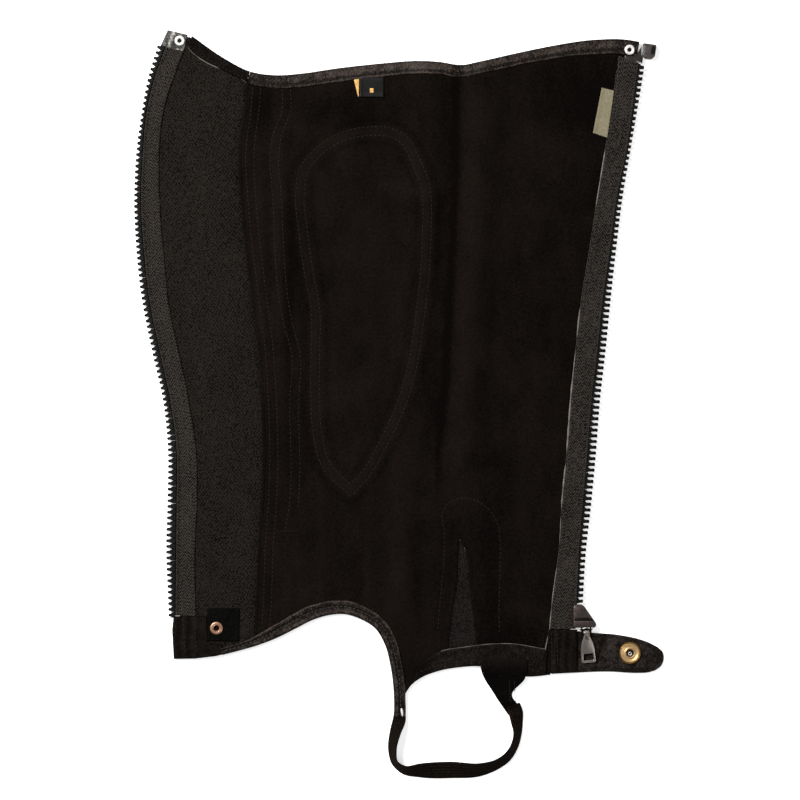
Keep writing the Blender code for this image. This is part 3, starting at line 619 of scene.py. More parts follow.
class Nodes:
    """One procedural material, and short ways to add and link its nodes."""

    def __init__(self, name: str) -> None:
        """Makes the named material, with a shader and the object's own coordinates."""
        self.material = bpy.data.materials.new(name)
        self.material.use_nodes = True
        self.tree = self.material.node_tree
        self.shader = self.tree.nodes["Principled BSDF"]
        self.place = self.tree.nodes.new("ShaderNodeTexCoord").outputs["Object"]

    def put(self, socket: Socket, value: object) -> None:
        """Links an output to the socket, or sets the socket's own value."""
        if isinstance(value, Socket):
            self.tree.links.new(value, socket)
        elif isinstance(value, tuple) and socket.type == "RGBA":
            socket.default_value = (*value, 1.0)
        else:
            socket.default_value = value

    def set(self, **values: object) -> None:
        """Sets or links sockets of the shader; an underscore stands for a space."""
        for name, value in values.items():
            self.put(self.shader.inputs[name.replace("_", " ")], value)

    def uv(self) -> Socket:
        """The piece's own UV, in metres of the cloth."""
        return self.tree.nodes.new("ShaderNodeTexCoord").outputs["UV"]

    def scaled(self, place: Socket, size: Colour, turn: float = 0.0) -> Socket:
        """The place, stretched by a size on each axis and turned about z by degrees."""
        node = self.tree.nodes.new("ShaderNodeMapping")
        node.inputs["Scale"].default_value = size
        node.inputs["Rotation"].default_value = (0.0, 0.0, math.radians(turn))
        self.put(node.inputs["Vector"], place)
        return node.outputs["Vector"]

    def noise(
        self, scale: float, detail: float = 2.0, rough: float = 0.5, bend: float = 0.0,
        place: Socket | None = None,
    ) -> Socket:
        """A noise from 0 to 1 with its middle at 0.5.

        Args:
            scale: features in a metre.
            detail: finer octaves.
            rough: strength of the finer octaves.
            bend: distortion.
            place: where it is read, else the object's own coordinates.

        Returns:
            The value.
        """
        node = self.tree.nodes.new("ShaderNodeTexNoise")
        for name, value in (
            ("Vector", place or self.place), ("Scale", scale), ("Detail", detail),
            ("Roughness", rough), ("Distortion", bend),
        ):
            self.put(node.inputs[name], value)
        return node.outputs["Fac"]

    def cells(self, scale: float, place: Socket | None = None, rim: bool = False) -> Socket:
        """Distance to the nearest cell's middle, or to the cells' rims."""
        node = self.tree.nodes.new("ShaderNodeTexVoronoi")
        node.feature = "DISTANCE_TO_EDGE" if rim else "F1"
        self.put(node.inputs["Vector"], place or self.place)
        self.put(node.inputs["Scale"], scale)
        return node.outputs["Distance"]

    def maths(self, operation: str, *values: object) -> Socket:
        """One Math node on the values."""
        node = self.tree.nodes.new("ShaderNodeMath")
        node.operation = operation
        for socket, value in zip(node.inputs, values, strict=False):
            self.put(socket, value)
        return node.outputs[0]

    def sine(self, place: Socket, turn: float) -> Socket:
        """The sine of the place times the turn."""
        return self.maths("SINE", self.maths("MULTIPLY", place, turn))

    def span(
        self, value: object, low: float, high: float, to_low: float = 0.0, to_high: float = 1.0,
    ) -> Socket:
        """The value's span from low to high moved to another span, and kept in it.

        Args:
            value: what is moved.
            low: where its span starts.
            high: where it ends.
            to_low: where low goes.
            to_high: where high goes.

        Returns:
            The moved value.
        """
        node = self.tree.nodes.new("ShaderNodeMapRange")
        for name, number in (
            ("Value", value), ("From Min", low), ("From Max", high),
            ("To Min", to_low), ("To Max", to_high),
        ):
            self.put(node.inputs[name], number)
        return node.outputs["Result"]

    def mix(self, factor: object, one: object, other: object) -> Socket:
        """A colour between two.

        Args:
            factor: share of the second.
            one: the first colour.
            other: the second colour.

        Returns:
            The colour.
        """
        node = self.tree.nodes.new("ShaderNodeMix")
        node.data_type = "RGBA"
        self.put(node.inputs["Factor"], factor)
        self.put(node.inputs[6], one)
        self.put(node.inputs[7], other)
        return node.outputs[2]

    def parts(self, place: Socket) -> bpy.types.NodeOutputs:
        """The X, Y and Z of a place."""
        node = self.tree.nodes.new("ShaderNodeSeparateXYZ")
        self.put(node.inputs[0], place)
        return node.outputs

    def value_of(self, name: str) -> Socket:
        """A number that the mesh holds at its points."""
        node = self.tree.nodes.new("ShaderNodeAttribute")
        node.attribute_name = name
        return node.outputs["Fac"]

    def bump(self, height: Socket, depth: float, strength: float = 1.0) -> None:
        """Bumps of the given depth in metres, on top of those already there.

        Args:
            height: from 0 to 1.
            depth: of the bumps.
            strength: how much they turn the surface.
        """
        node = self.tree.nodes.new("ShaderNodeBump")
        self.put(node.inputs["Height"], height)
        self.put(node.inputs["Distance"], depth)
        self.put(node.inputs["Strength"], strength)
        normal = self.shader.inputs["Normal"]
        if normal.is_linked:
            self.put(node.inputs["Normal"], normal.links[0].from_socket)
        self.put(normal, node.outputs["Normal"])

    def toned(self, dark: Colour, light: Colour, mixed: Socket) -> None:
        """Base colour between dark and light, moved by the points' tone."""
        moved = self.maths("ADD", mixed, self.value_of("tone"))
        self.set(Base_Color=self.mix(self.span(moved, 0.0, 1.0), dark, light))


@dataclass(frozen=True)
class Suede:
    """Brushed leather: patches of nap that lie either way, and a short rough pile."""

    dark: Colour = (0.0014, 0.0009, 0.0007)
    light: Colour = (0.0100, 0.0069, 0.0055)
    sheen: float = 0.02

    def make(self, name: str) -> Material:
        """Patches from slow bent noise, short strokes, and a fine pile as bumps.

        Args:
            name: of the material.

        Returns:
            The material.
        """
        m = Nodes(name)
        patches = m.noise(17.0, 3.0, 0.55, 0.7)
        strokes = m.noise(1.0, 3.0, 0.6, 0.4, m.scaled(m.place, (95.0, 42.0, 60.0), 14))
        pile = m.noise(640.0, 3.0, 0.7)
        mixed = m.maths("MULTIPLY_ADD", m.span(patches, 0.34, 0.68), 0.20, 0.14)
        mixed = m.maths("MULTIPLY_ADD", m.span(strokes, 0.3, 0.7), 0.20, mixed)
        mixed = m.maths("MULTIPLY_ADD", m.span(pile, 0.3, 0.7, -0.5, 0.5), 0.50, mixed)
        m.toned(self.dark, self.light, mixed)
        m.set(Roughness=0.96, Specular_IOR_Level=0.03, Sheen_Weight=self.sheen, Sheen_Roughness=0.45)
        m.set(Sheen_Tint=(0.55, 0.45, 0.40))
        m.bump(strokes, 0.0006, 0.5)
        m.bump(pile, 0.0004, 0.7)
        return m.material


@dataclass(frozen=True)
class Leather:
    """Grained leather: rounded pebbles, fine wrinkles and a dull gloss."""

    dark: Colour = (0.0018, 0.0012, 0.0010)
    light: Colour = (0.0640, 0.0490, 0.0410)
    gloss: Pair = (0.40, 0.60)
    pebble: float = 640.0  # in a metre
    depth: float = 0.00022
    specular: float = 0.09

    def make(self, name: str) -> Material:
        """Pebbles from cells' distances, wrinkles from noise, and gloss by noise.

        Args:
            name: of the material.

        Returns:
            The material.
        """
        m = Nodes(name)
        bent = m.noise(160.0, 3.0, 0.6, 0.3)
        cells = m.cells(self.pebble, m.scaled(m.place, (1.0, 0.8, 1.0), 20))
        fine = m.noise(1300.0, 2.0, 0.7)
        worn = m.maths("MULTIPLY_ADD", m.span(bent, 0.34, 0.70), 0.40, 0.14)
        worn = m.maths("ADD", m.span(cells, 0.05, 0.6, 0.26, -0.22), worn)
        worn = m.maths("MULTIPLY_ADD", m.span(fine, 0.3, 0.7, -0.5, 0.5), 0.45, worn)
        m.toned(self.dark, self.light, worn)
        m.set(Roughness=m.span(bent, 0.3, 0.7, *self.gloss), Specular_IOR_Level=self.specular)
        m.set(Specular_Tint=(1.0, 0.88, 0.80))
        m.bump(bent, 5 * self.depth, 0.8)
        m.bump(m.span(cells, 0.0, 0.7, 1.0, 0.0), self.depth, 0.8)
        m.bump(fine, 0.4 * self.depth, 0.6)
        return m.material


class Weave(Enum):
    """How threads cross in a woven or knitted cloth."""

    HERRINGBONE = "herringbone"
    WEBBING = "webbing"
    KNIT = "knit"
    SATIN = "satin"
    PLAIN = "plain"


@dataclass(frozen=True)
class Woven:
    """A woven, knitted or ribbed cloth, drawn on the piece's UV in metres."""

    weave: Weave
    dark: Colour
    light: Colour
    pitch: float = 0.0009  # of the threads, in metres
    band: float = 0.0040  # of a herringbone's zigzag
    depth: float = 0.00012
    rough: float = 0.88
    speckle: float = 0.45
    specular: float = 0.06
    stray: float = 820.0  # speckles in a metre
    contrast: float = 0.50  # of the threads
    cord: float = 0.0014  # of a tape's corded edge, in metres
    tint: Colour | None = None  # of the higher V edge, near the far end

    def threads(self, m: Nodes) -> Socket:
        """The threads' pattern from 0 to 1, out of sines of the two places on the cloth.

        Args:
            m: the material.

        Returns:
            The value.
        """
        u, v = m.parts(m.uv())[:2]
        turn = 2 * math.pi / self.pitch
        if self.weave is Weave.HERRINGBONE:
            zig = m.maths("PINGPONG", v, self.band / 2)
            lines = m.sine(m.maths("ADD", u, m.maths("MULTIPLY", zig, 1.4)), turn)
            dots = m.maths("MULTIPLY", lines, m.maths("MULTIPLY_ADD", m.sine(v, turn * 1.3), 0.55, 0.75))
            corded = m.maths("MULTIPLY", m.span(v, 0.0001, 0.0004), m.span(v, 0.0013, 0.0016, 1.0, 0.0))
            cords = m.maths("MULTIPLY_ADD", m.sine(u, 2 * math.pi / self.cord), 1.3, 0.5)
            plain = m.maths("MULTIPLY", dots, m.span(v, 0.0013, 0.0026))
            both = m.maths("MULTIPLY_ADD", cords, corded, plain)
        elif self.weave is Weave.WEBBING:
            both = m.maths("MULTIPLY_ADD", m.sine(u, turn * 1.6), 0.35, m.sine(v, turn))
        elif self.weave is Weave.KNIT:
            shift = m.maths("MULTIPLY", m.sine(v, turn / 2), 1.2)
            lines = m.maths("SINE", m.maths("ADD", m.maths("MULTIPLY", u, turn), shift))
            both = m.maths("MULTIPLY", lines, m.sine(v, turn * 1.25))
        elif self.weave is Weave.SATIN:
            both = m.maths("MULTIPLY", m.sine(u, turn), 0.4)
        else:
            both = m.maths("MULTIPLY", m.sine(u, turn), m.sine(v, turn))
        return m.span(both, -1.0, 1.0)

    def make(self, name: str) -> Material:
        """The threads as colour and bumps, with worn patches and stray speckles.

        Args:
            name: of the material.

        Returns:
            The material.
        """
        m = Nodes(name)
        threads = self.threads(m)
        worn = m.noise(60.0, 4.0, 0.6, 0.4)
        stray = m.noise(self.stray, 2.0, 0.8)
        mixed = m.maths("MULTIPLY_ADD", threads, self.contrast, 0.22 - self.contrast / 2)
        mixed = m.maths("MULTIPLY_ADD", m.span(worn, 0.3, 0.7), 0.18, mixed)
        mixed = m.maths("MULTIPLY_ADD", m.span(stray, 0.36, 0.66, -0.35, 0.85), self.speckle, mixed)
        moved = m.span(m.maths("ADD", mixed, m.value_of("tone")), 0.0, 1.0)
        colour = m.mix(moved, self.dark, self.light)
        if self.tint:
            along, across = m.parts(m.uv())[:2]
            tinted_edge = m.maths("MULTIPLY", m.span(across, 0.009, 0.012), m.span(along, 0.140, 0.160))
            colour = m.mix(m.maths("MULTIPLY", tinted_edge, 0.4), colour, self.tint)
        m.set(Base_Color=colour, Roughness=self.rough, Specular_IOR_Level=self.specular)
        m.bump(threads, self.depth, 0.9)
        m.bump(stray, 0.5 * self.depth, 0.5)
        return m.material


@dataclass(frozen=True)
class Hard:
    """A metal, a moulded plastic or a clear film, with wear in its gloss."""

    colour: Colour
    rough: float = 0.3
    metal: float = 0.0
    wear: float = 0.15
    dull: float = 0.7  # of the colour, in the worn places
    coat: float = 0.0
    grain: float = 0.00002
    specular: float = 0.5

    def make(self, name: str) -> Material:
        """Colour and gloss moved by slow and fine noise, and a faint uneven surface.

        Args:
            name: of the material.

        Returns:
            The material.
        """
        m = Nodes(name)
        slow = m.noise(260.0, 3.0, 0.6)
        fine = m.noise(3000.0, 2.0, 0.6)
        worn = tuple(self.dull * c for c in self.colour)
        both = m.maths("MULTIPLY_ADD", m.span(fine, 0.3, 0.7), 0.4, m.span(slow, 0.35, 0.7, 0.0, 0.6))
        m.set(Base_Color=m.mix(m.span(both, 0.0, 1.0), self.colour, worn))
        m.set(Roughness=m.span(both, 0.0, 1.0, self.rough, self.rough + self.wear))
        m.set(Metallic=self.metal, Coat_Weight=self.coat, Specular_IOR_Level=self.specular)
        m.bump(slow, 4 * self.grain, 0.5)
        m.bump(fine, self.grain, 0.6)
        return m.material


@dataclass(frozen=True)
class Film:
    """A clear glossy film on cloth: dark where it lies close, and white at its crinkles, partly whitened film and
    partly painted highlights.
    """

    close: Colour = (0.018, 0.016, 0.015)
    crinkle_glint: Colour = (0.36, 0.34, 0.31)
    row: float = 0.0021  # of the tape below, in metres

    def make(self, name: str) -> Material:
        """Crinkles from bent noise over the tape's rows, and a wet gloss.

        Args:
            name: of the material.

        Returns:
            The material.
        """
        m = Nodes(name)
        crinkles = m.noise(330.0, 3.0, 0.65, 1.4)
        rows = m.sine(m.parts(m.place)[1], 2 * math.pi / self.row)
        # The crinkles' white is partly whitened film and partly painted highlight.
        mixed = m.maths("MULTIPLY_ADD", rows, 0.08, m.span(crinkles, 0.50, 0.86, 0.0, 0.24))
        m.toned(self.close, self.crinkle_glint, mixed)
        m.set(Roughness=m.span(crinkles, 0.3, 0.7, 0.25, 0.45), Coat_Weight=0.03, Specular_IOR_Level=0.15)
        m.bump(crinkles, 0.0004, 0.5)
        return m.material


class Wardrobe:
    """Every finish of the half chap, made once and shared."""

    def __init__(self) -> None:
        """Makes the cloths, the leathers, and then the hard finishes."""
        self.suede = Suede().make("suede")
        self.wing_suede = Suede((0.0010, 0.0008, 0.0007), (0.0078, 0.0058, 0.0050)).make("wing_suede")
        self.edge_suede = Suede((0.0009, 0.0007, 0.0006), (0.0085, 0.0063, 0.0051), 0.0).make("turned_edge")
        self.outer = Leather((0.006, 0.005, 0.0045), (0.020, 0.017, 0.015), specular=0.3).make("outer_leather")
        self.bright = Leather().make("bright_leather")
        self.facing = Leather(
            (0.0014, 0.0010, 0.0008), (0.0190, 0.0148, 0.0122), (0.5, 0.75), specular=0.05,
        ).make("facing_leather")
        self.worn = Leather(
            (0.0008, 0.0006, 0.0005), (0.0112, 0.0083, 0.0065), (0.6, 0.85), 900.0, 0.0002, 0.05,
        ).make("worn_leather")
        self.strap = Leather(
            (0.0018, 0.0013, 0.0011), (0.0370, 0.0295, 0.0250), (0.46, 0.62), 760.0, specular=0.08,
        ).make("strap_leather")
        self.matt = Leather(
            (0.0009, 0.0007, 0.0006), (0.0125, 0.0100, 0.0085), (0.72, 0.9), 900.0, specular=0.04,
        ).make("matt_binding")
        self.knit = Woven(
            Weave.KNIT, (0.0005, 0.0004, 0.0003), (0.0144, 0.0119, 0.0100), 0.0023, specular=0.02, stray=1000.0,
            speckle=1.5, contrast=1.5,
        ).make("stretch_knit")
        self.rib = Woven(
            Weave.KNIT, (0.0010, 0.0008, 0.0007), (0.0138, 0.0107, 0.0098), 0.0019, specular=0.03, stray=1000.0,
            speckle=1.2, contrast=1.1,
        ).make("ribbed_elastic")
        self.tape = Woven(
            Weave.HERRINGBONE, (0.0012, 0.0010, 0.0008), (0.0325, 0.0277, 0.0240), 0.0023, 0.0064, 0.0002,
            speckle=1.2, specular=0.03, stray=800.0, contrast=1.9,
        ).make("woven_tape")
        self.webbing = Woven(
            Weave.WEBBING, (0.0008, 0.0006, 0.0004), (0.0105, 0.0074, 0.0054), 0.0021,
            tint=(0.030, 0.012, 0.005), specular=0.02,
        ).make("elastic")
        self.satin = Woven(
            Weave.SATIN, (0.0022, 0.0020, 0.0019), (0.0095, 0.0088, 0.0085), 0.0014, rough=0.5, depth=0.00004,
            specular=0.10,
        ).make("black_satin")
        self.gold_thread = Woven(
            Weave.PLAIN, (0.30, 0.14, 0.03), (0.85, 0.52, 0.16), 0.0012, rough=0.6, specular=0.3,
        ).make("gold_thread")
        self.tan = Woven(
            Weave.PLAIN, (0.12, 0.105, 0.062), (0.27, 0.245, 0.165), 0.0014, speckle=0.3,
        ).make("tan_weave")
        self.backing = Woven(
            Weave.PLAIN, (0.0006, 0.0006, 0.0005), (0.0044, 0.0043, 0.0037), 0.0018, specular=0.02,
        ).make("patch")
        self.film = Film().make("clear_film")
        self.edge = Hard((0.19, 0.17, 0.152), 0.8, dull=0.3, specular=0.1).make("skived_edge")
        self.moulded = Hard((0.0024, 0.0020, 0.0018), 0.55, dull=0.6, specular=0.10).make("moulded_teeth")
        self.black = Hard(
            (0.050, 0.040, 0.038), 0.34, wear=0.12, dull=0.45, coat=0.15, grain=0.00005, specular=0.3,
        ).make("black_plastic")
        self.silver = Hard((0.92, 0.90, 0.86), 0.30, 0.55).make("silver")
        self.gunmetal = Hard((0.100, 0.078, 0.074), 0.36, 1.0, dull=0.5, grain=0.00006).make("gunmetal")
        self.pull = Hard((0.39, 0.345, 0.31), 0.30, 1.0, grain=0.00004).make("pull_metal")
        self.gold = Hard((0.52, 0.34, 0.16), 0.34, 0.6).make("gold")
        self.brass = Hard((0.36, 0.20, 0.125), 0.32, 0.7).make("brass")
        # Dark gold for the socket's rim: painted shade.
        self.rim = Hard((0.22, 0.12, 0.03), 0.34, 1.0).make("gold_rim")
        self.steel = Hard((0.050, 0.022, 0.016), 0.4, 1.0).make("spring_steel")
        self.thread = Hard((0.0240, 0.0195, 0.0165), 0.85, dull=0.3, specular=0.05).make("dark_thread")
        self.light_thread = Hard((0.055, 0.048, 0.043), 0.75, dull=0.3, specular=0.15).make("light_thread")


# ---------------------------------------------------------------- cloth pieces


@dataclass(frozen=True)
class Sheet:
    """A layer of cloth or leather that lies on the lie.

    The cut is its flat width and length in metres, and area its flat area there.
    """

    name: str
    node: str
    level: float
    thick: float
    cut: Pair
    area: float
    slot: str
    rests_on: tuple[str, ...] = ("main_panel_cloth",)
    uneven: float = 0.10
    edge: float = 0.6  # share of the thickness that is left at the rim
    own: bool = True  # a sheet of its own, and not a part of another
    under: Callable[[Array, Array], Array] = PATTERN.lie

    def heights(self, plan: Array) -> tuple[Array, Array]:
        """Heights of the upper and the lower surface above a plan, thinner at the rim.

        Args:
            plan: grid of plan points.

        Returns:
            The two grids of heights.
        """
        x, y = plan[..., 0], plan[..., 1]
        base = self.under(x, y) + self.level
        wall = self.thick + self.uneven * waves(x, y, (9.0, 14.0, 23.0), len(self.name))
        rim = np.ones(x.shape)
        rim[[0, -1]] = self.edge
        rim[:, [0, -1]] = self.edge
        return base + wall * rim, base

    def lay(
        self, plan: Array, finishes: Sequence[Material], uv: Array | None = None,
        holes: Sequence[tuple[Pair, float]] = (), tone: Array | float = 0.0, raised: Array | float = 0.0,
    ) -> None:
        """Args:
            plan: grid of plan points.
            finishes: of the upper side and of the underside.
            uv: a place on the cloth for each point.
            holes: middles and radii of round holes, each below a fastener's flange.
            tone: lighter or darker at each point.
            raised: more height of the upper side at each point.
        """
        top, low = self.heights(plan)
        keep = clear_of((plan[:-1, :-1] + plan[1:, 1:]) / 2, holes)
        skin = Skin()
        skin.shell(plan, top + raised, low, keep, uv, tone, (0, len(finishes) - 1, 0))
        made = skin.build(self.name, finishes, [self.node], slot=self.slot)


def cloth_uv(plan: Array) -> Array:
    """Places on a cloth out of its grid: u along the columns and v across, in metres."""
    along = np.linalg.norm(np.diff(plan.mean(1), axis=0), axis=1)
    across = np.linalg.norm(np.diff(plan.mean(0), axis=0), axis=1)
    u, v = np.r_[0, np.cumsum(along)], np.r_[0, np.cumsum(across)]
    return np.stack(np.broadcast_arrays(u[:, None], v[None, :]), -1) * MM


@dataclass(frozen=True)
class Panels:
    """The leather panel, the knitted panel and the elastic wedge in the leather."""

    finishes: Wardrobe
    rows: int = 228
    columns: int = 142
    seam_low: float = -166.6
    seam_top: float = 229.3
    roll: float = 1.0  # rounding down of the leather at the seam
    channel: Pair = (0.34, 1.7)  # depth and reach of the furrow along a stitch row
    bank: Pair = (0.10, 1.6)  # height and reach of its banks

    # Darker and lighter patches of the nap: middle, reach and amount.
    PATCHES = (
        (-2.0, -110.0, 9.0, 38.0, 0.14), (14.0, -118.0, 6.0, 45.0, -0.26), (27.0, -120.0, 5.0, 46.0, -0.10),
        (64.0, -118.0, 6.0, 44.0, -0.18), (-92.0, 60.0, 6.0, 110.0, -0.12), (-68.0, 40.0, 5.0, 120.0, -0.12),
        (146.0, 40.0, 26.0, 150.0, -0.16), (60.0, 120.0, 24.0, 60.0, 0.10), (-25.0, 190.0, 40.0, 26.0, -0.06),
        (62.0, 28.0, 22.0, 40.0, 0.10), (80.0, -165.0, 20.0, 14.0, -0.25), (-10.0, -100.0, 60.0, 26.0, -0.05),
        (-98.0, 206.0, 9.0, 22.0, -0.45), (-86.0, 143.0, 3.5, 78.0, 0.30), (-98.0, 96.0, 3.5, 66.0, 0.22),
        (-76.5, 70.0, 4.5, 78.0, -0.42), (-35.0, 205.0, 52.0, 14.0, -0.22), (132.0, 214.0, 26.0, 30.0, -0.25),
        (-55.0, -105.0, 3.0, 50.0, 0.18), (-22.0, -122.0, 2.5, 34.0, 0.22), (2.0, -100.0, 5.0, 40.0, 0.14),
    )
    # The main fold's valley, from its lower end up, where shade and light are painted.
    VALLEY = ((27.3, -36.4), (32.9, 17.5), (36.4, 88.9), (39.9, 161.0), (39.9, 235.0))

    @staticmethod
    def in_arch() -> Array:
        """The panels' edge under the arch's binding."""
        arch = curve(ARCH_EDGE)
        return arch + BOUND_EDGE * inward(arch)

    def leather_plan(self) -> Array:
        """The leather's grid, from the seam to the right tape, without the tongue.

        Returns:
            The plan points, as rows from the bottom up.
        """
        y_left = np.linspace(self.seam_low, self.seam_top, self.rows)
        y_right = np.linspace(-157.6, 246.0, self.rows)
        left = PATTERN.strip(Column.SEAM, GAP / 2, y_left)
        right = PATTERN.strip(Column.RIGHT_TAPE, -UNDER_TAPE, y_right)
        arch = self.in_arch()
        arch = arch[(arch[:, 0] > left[0, 0] + 1) & (arch[:, 1] > -200)]
        hem = curve(HEM_EDGE)
        bottom = np.vstack([
            left[:1], arch, [(-1.6, -203.5), (3.8, -203.5)], hem, [(106.9, -158.2)], right[:1],
        ])
        bottom = by_x(bottom, np.linspace(left[0, 0], right[0, 0], self.columns))
        edge = curve(TOP_EDGE)[::-1] + (0.05 * BOUND_EDGE, -BOUND_EDGE)
        top = by_x(edge, np.linspace(left[-1, 0], right[-1, 0], self.columns))
        left[-1], right[-1] = top[0], top[-1]
        return patch(bottom, right, top, left)

    def tone(self, x: Array, y: Array) -> Array:
        """Painted shade and light along the leather's main fold, and the nap's patches.

        Sums of bells across the fold: painted shade in its valley and on the bank left of it,
        painted light on the bank right of it.

        Args:
            x: x of the points.
            y: y of the points.

        Returns:
            What is added to the finish's mix.
        """
        places, heights = zip(*self.VALLEY, strict=True)
        valley = np.interp(y, heights, places)
        end = fade((-y - 30) / 50)
        # Painted shade in the fold's valley and on its left bank, painted light on its right bank.
        dark = -0.50 * bell(x - valley, 2.8) - 0.14 * bell(x - valley + 5, 10)
        light = 0.16 * bell(x - valley - 12, 8)
        total = end * (dark + light)
        total = total + spots(x, y, self.PATCHES)
        band = nearest(Stitching.teardrop(3.0), x, y)[0]
        total = total + 0.20 * bell(band, 3.2) - 0.16 * bell(band - 7.5, 2.5)
        return 0.8 * total - 0.10 * fade((60 - x) / 20) + 0.05 * waves(x, y, (31.0, 47.0, 70.0), 5)

    def relief(self, x: Array, y: Array) -> Array:
        """Soft uneven height of the leather's upper side, level below other pieces.

        Args:
            x: x of the points.
            y: y of the points.

        Returns:
            The heights.
        """
        free = 1 - fade((PATTERN.side(Column.RIGHT_INNER, y) - x - 1) / 8)
        for line in (PATTERN.top, PATTERN.arch, np.vstack([FACING_TOP, PATTERN.hem[::-1]])):
            free = free * (1 - fade((nearest(line, x, y)[0] - 8.5) / 9))
        soft = 0.30 * waves(x, y, (26.0, 38.0, 57.0), 3) + 0.10 * waves(x, y, (9.0, 13.0), 8)
        return free * soft

    def rows_depth(self, x: Array, y: Array) -> Array:
        """Depth of the soft channels along the leather's stitch rows, as bells across them.

        Args:
            x: x of the points.
            y: y of the points.

        Returns:
            The depths.
        """
        depth = np.zeros(x.shape)
        for row in Stitching.channels():
            away = nearest(row, x, y)[0]
            depth = depth + self.channel[0] * bell(away, self.channel[1])
            depth = depth - self.bank[0] * bell(away - 2 * self.bank[1], self.bank[1])
        return depth

    def make_leather(self) -> None:
        """The suede panel with its soft lie and stitch channels, open over the wedge."""
        plan = self.leather_plan()
        middle = (plan[:-1, :-1] + plan[1:, 1:] + plan[:-1, 1:] + plan[1:, :-1]) / 4
        keep = ~inside(GUSSET_EDGE, middle[..., 0], middle[..., 1])
        near = np.zeros(plan.shape[:2], int)
        for rows in (slice(None, -1), slice(1, None)):
            for columns in (slice(None, -1), slice(1, None)):
                near[rows, columns] += np.where(keep, 1, 10)
        rim = (near > 10) & (near % 10 > 0)
        closed = np.vstack([GUSSET_EDGE, GUSSET_EDGE[:1]])
        plan[rim] = nearest(closed, plan[rim][:, 0], plan[rim][:, 1])[1]
        keep &= clear_of(middle, [(RIVET_RIGHT, RIVET_CUT)])
        x, y = plan[..., 0], plan[..., 1]
        low = PATTERN.lie(x, y)
        top = low + SUEDE + self.relief(x, y) - self.rows_depth(x, y)
        top[:, 0] -= self.roll
        top[:, 1] -= 0.25 * self.roll
        skin = Skin()
        skin.shell(plan, top, low, keep, None, self.tone(x, y))
        tongue = quad([(-1.8, -217.6), (4.3, -214.8), (4.3, -203.6), (-1.5, -203.7)], 6, 10)
        ground = PATTERN.lie(tongue[..., 0], tongue[..., 1])
        skin.shell(tongue, ground + SUEDE, ground)
        finishes = [self.finishes.suede, self.finishes.outer]
        made = skin.build("main_panel_cloth", finishes, ["main_panel"], slot="suede")

    def make_stretch(self) -> None:
        """The knitted panel, from the left tape to the seam."""
        rows, columns = 212, 40
        left = np.vstack([
            PATTERN.strip(Column.LEFT_TAPE, UNDER_TAPE, np.linspace(-176.6, 244.6, rows - 4)),
            straight([(-160.6, 249.5), (-158.6, 258.9)], 4),
        ])
        right = PATTERN.strip(Column.SEAM, -GAP / 2, np.linspace(-168.0, 229.6, rows))
        arch = self.in_arch()
        arch = arch[(arch[:, 0] > -122) & (arch[:, 0] < right[0, 0] - 1)]
        bottom = np.vstack([left[:1], [(-141.8, -176.4), (-128.4, -174.8)], arch, right[:1]])
        bottom = by_x(bottom, np.linspace(left[0, 0], right[0, 0], columns))
        edge = curve(TOP_EDGE)[::-1] - (0.6, 1.5)
        edge = edge[edge[:, 0] > -146.5]
        top = np.vstack([left[-1:], [(-147.2, 256.4)], edge])
        top = by_x(top, np.linspace(left[-1, 0], right[-1, 0], columns))
        right[-1] = top[-1]
        plan = patch(bottom, right, top, left)
        x, y = plan[..., 0], plan[..., 1]
        free = 1 - fade((x - PATTERN.side(Column.LEFT_INNER, y) - 1) / 8)
        for line in (PATTERN.top, PATTERN.arch):
            free = free * (1 - fade((nearest(line, x, y)[0] - 8.5) / 9))
        free = free * (1 - fade((np.hypot(x - POST[0], y - POST[1]) - 22) / 10))
        low = PATTERN.lie(x, y)
        top = low + STRETCH + free * 0.22 * waves(x, y, (24.0, 41.0, 60.0), 4)
        top[:, -1] -= 0.5
        keep = clear_of((plan[:-1, :-1] + plan[1:, 1:]) / 2, [(POST, POST_CUT), (RIVET_LEFT, RIVET_CUT)])
        # Darker along the seam: painted shade where the knit dips beside the leather.
        tone = 0.10 * waves(x, y, (33.0, 60.0), 6) - 0.22 * bell(x - PATTERN.side(Column.SEAM, y), 5)
        skin = Skin()
        skin.shell(plan, top, low, keep, None, tone, (0, 0, 0))
        made = skin.build("stretch_panel_cloth", [self.finishes.knit], ["stretch_panel"], slot="stretch_knit")

    def make_gusset(self) -> None:
        """The elastic wedge, with ribs that slant across it as soft waves."""
        rows, columns = 190, 44
        left = curve(GUSSET_EDGE[5::-1], count=rows) + (0.4, 0.0)
        right = curve(GUSSET_EDGE[6:], count=rows) - (0.4, 0.0)
        left[-1], right[-1] = (42.9, -95.2), (44.3, -98.4)
        bottom, top = straight([left[0], right[0]], columns), straight([left[-1], right[-1]], columns)
        plan = patch(bottom, right, top, left)
        x, y = plan[..., 0], plan[..., 1]
        base = PATTERN.lie(x, y) + GAP
        ribs = np.sin(2 * math.pi * (y * 0.86 + x * 0.5) / 2.1)
        top = base + STRETCH - 0.1 + 0.16 * ribs + 0.05 * waves(x, y, (5.0, 8.0), 2)
        top[:, [0, -1]] -= 0.5
        skin = Skin()
        # Painted shade along the left edge, beside the turned leather; lighter on the ribs' crests.
        tone = 0.10 * ribs - 0.15 * bell(x - left[:, :1], 3.5)
        skin.shell(plan, top, base, None, None, tone, (0, 0, 0))
        made = skin.build(
            "ankle_gusset_cloth", [self.finishes.rib], ["ankle_gusset"], slot="ribbed_elastic", sharp=80,
        )

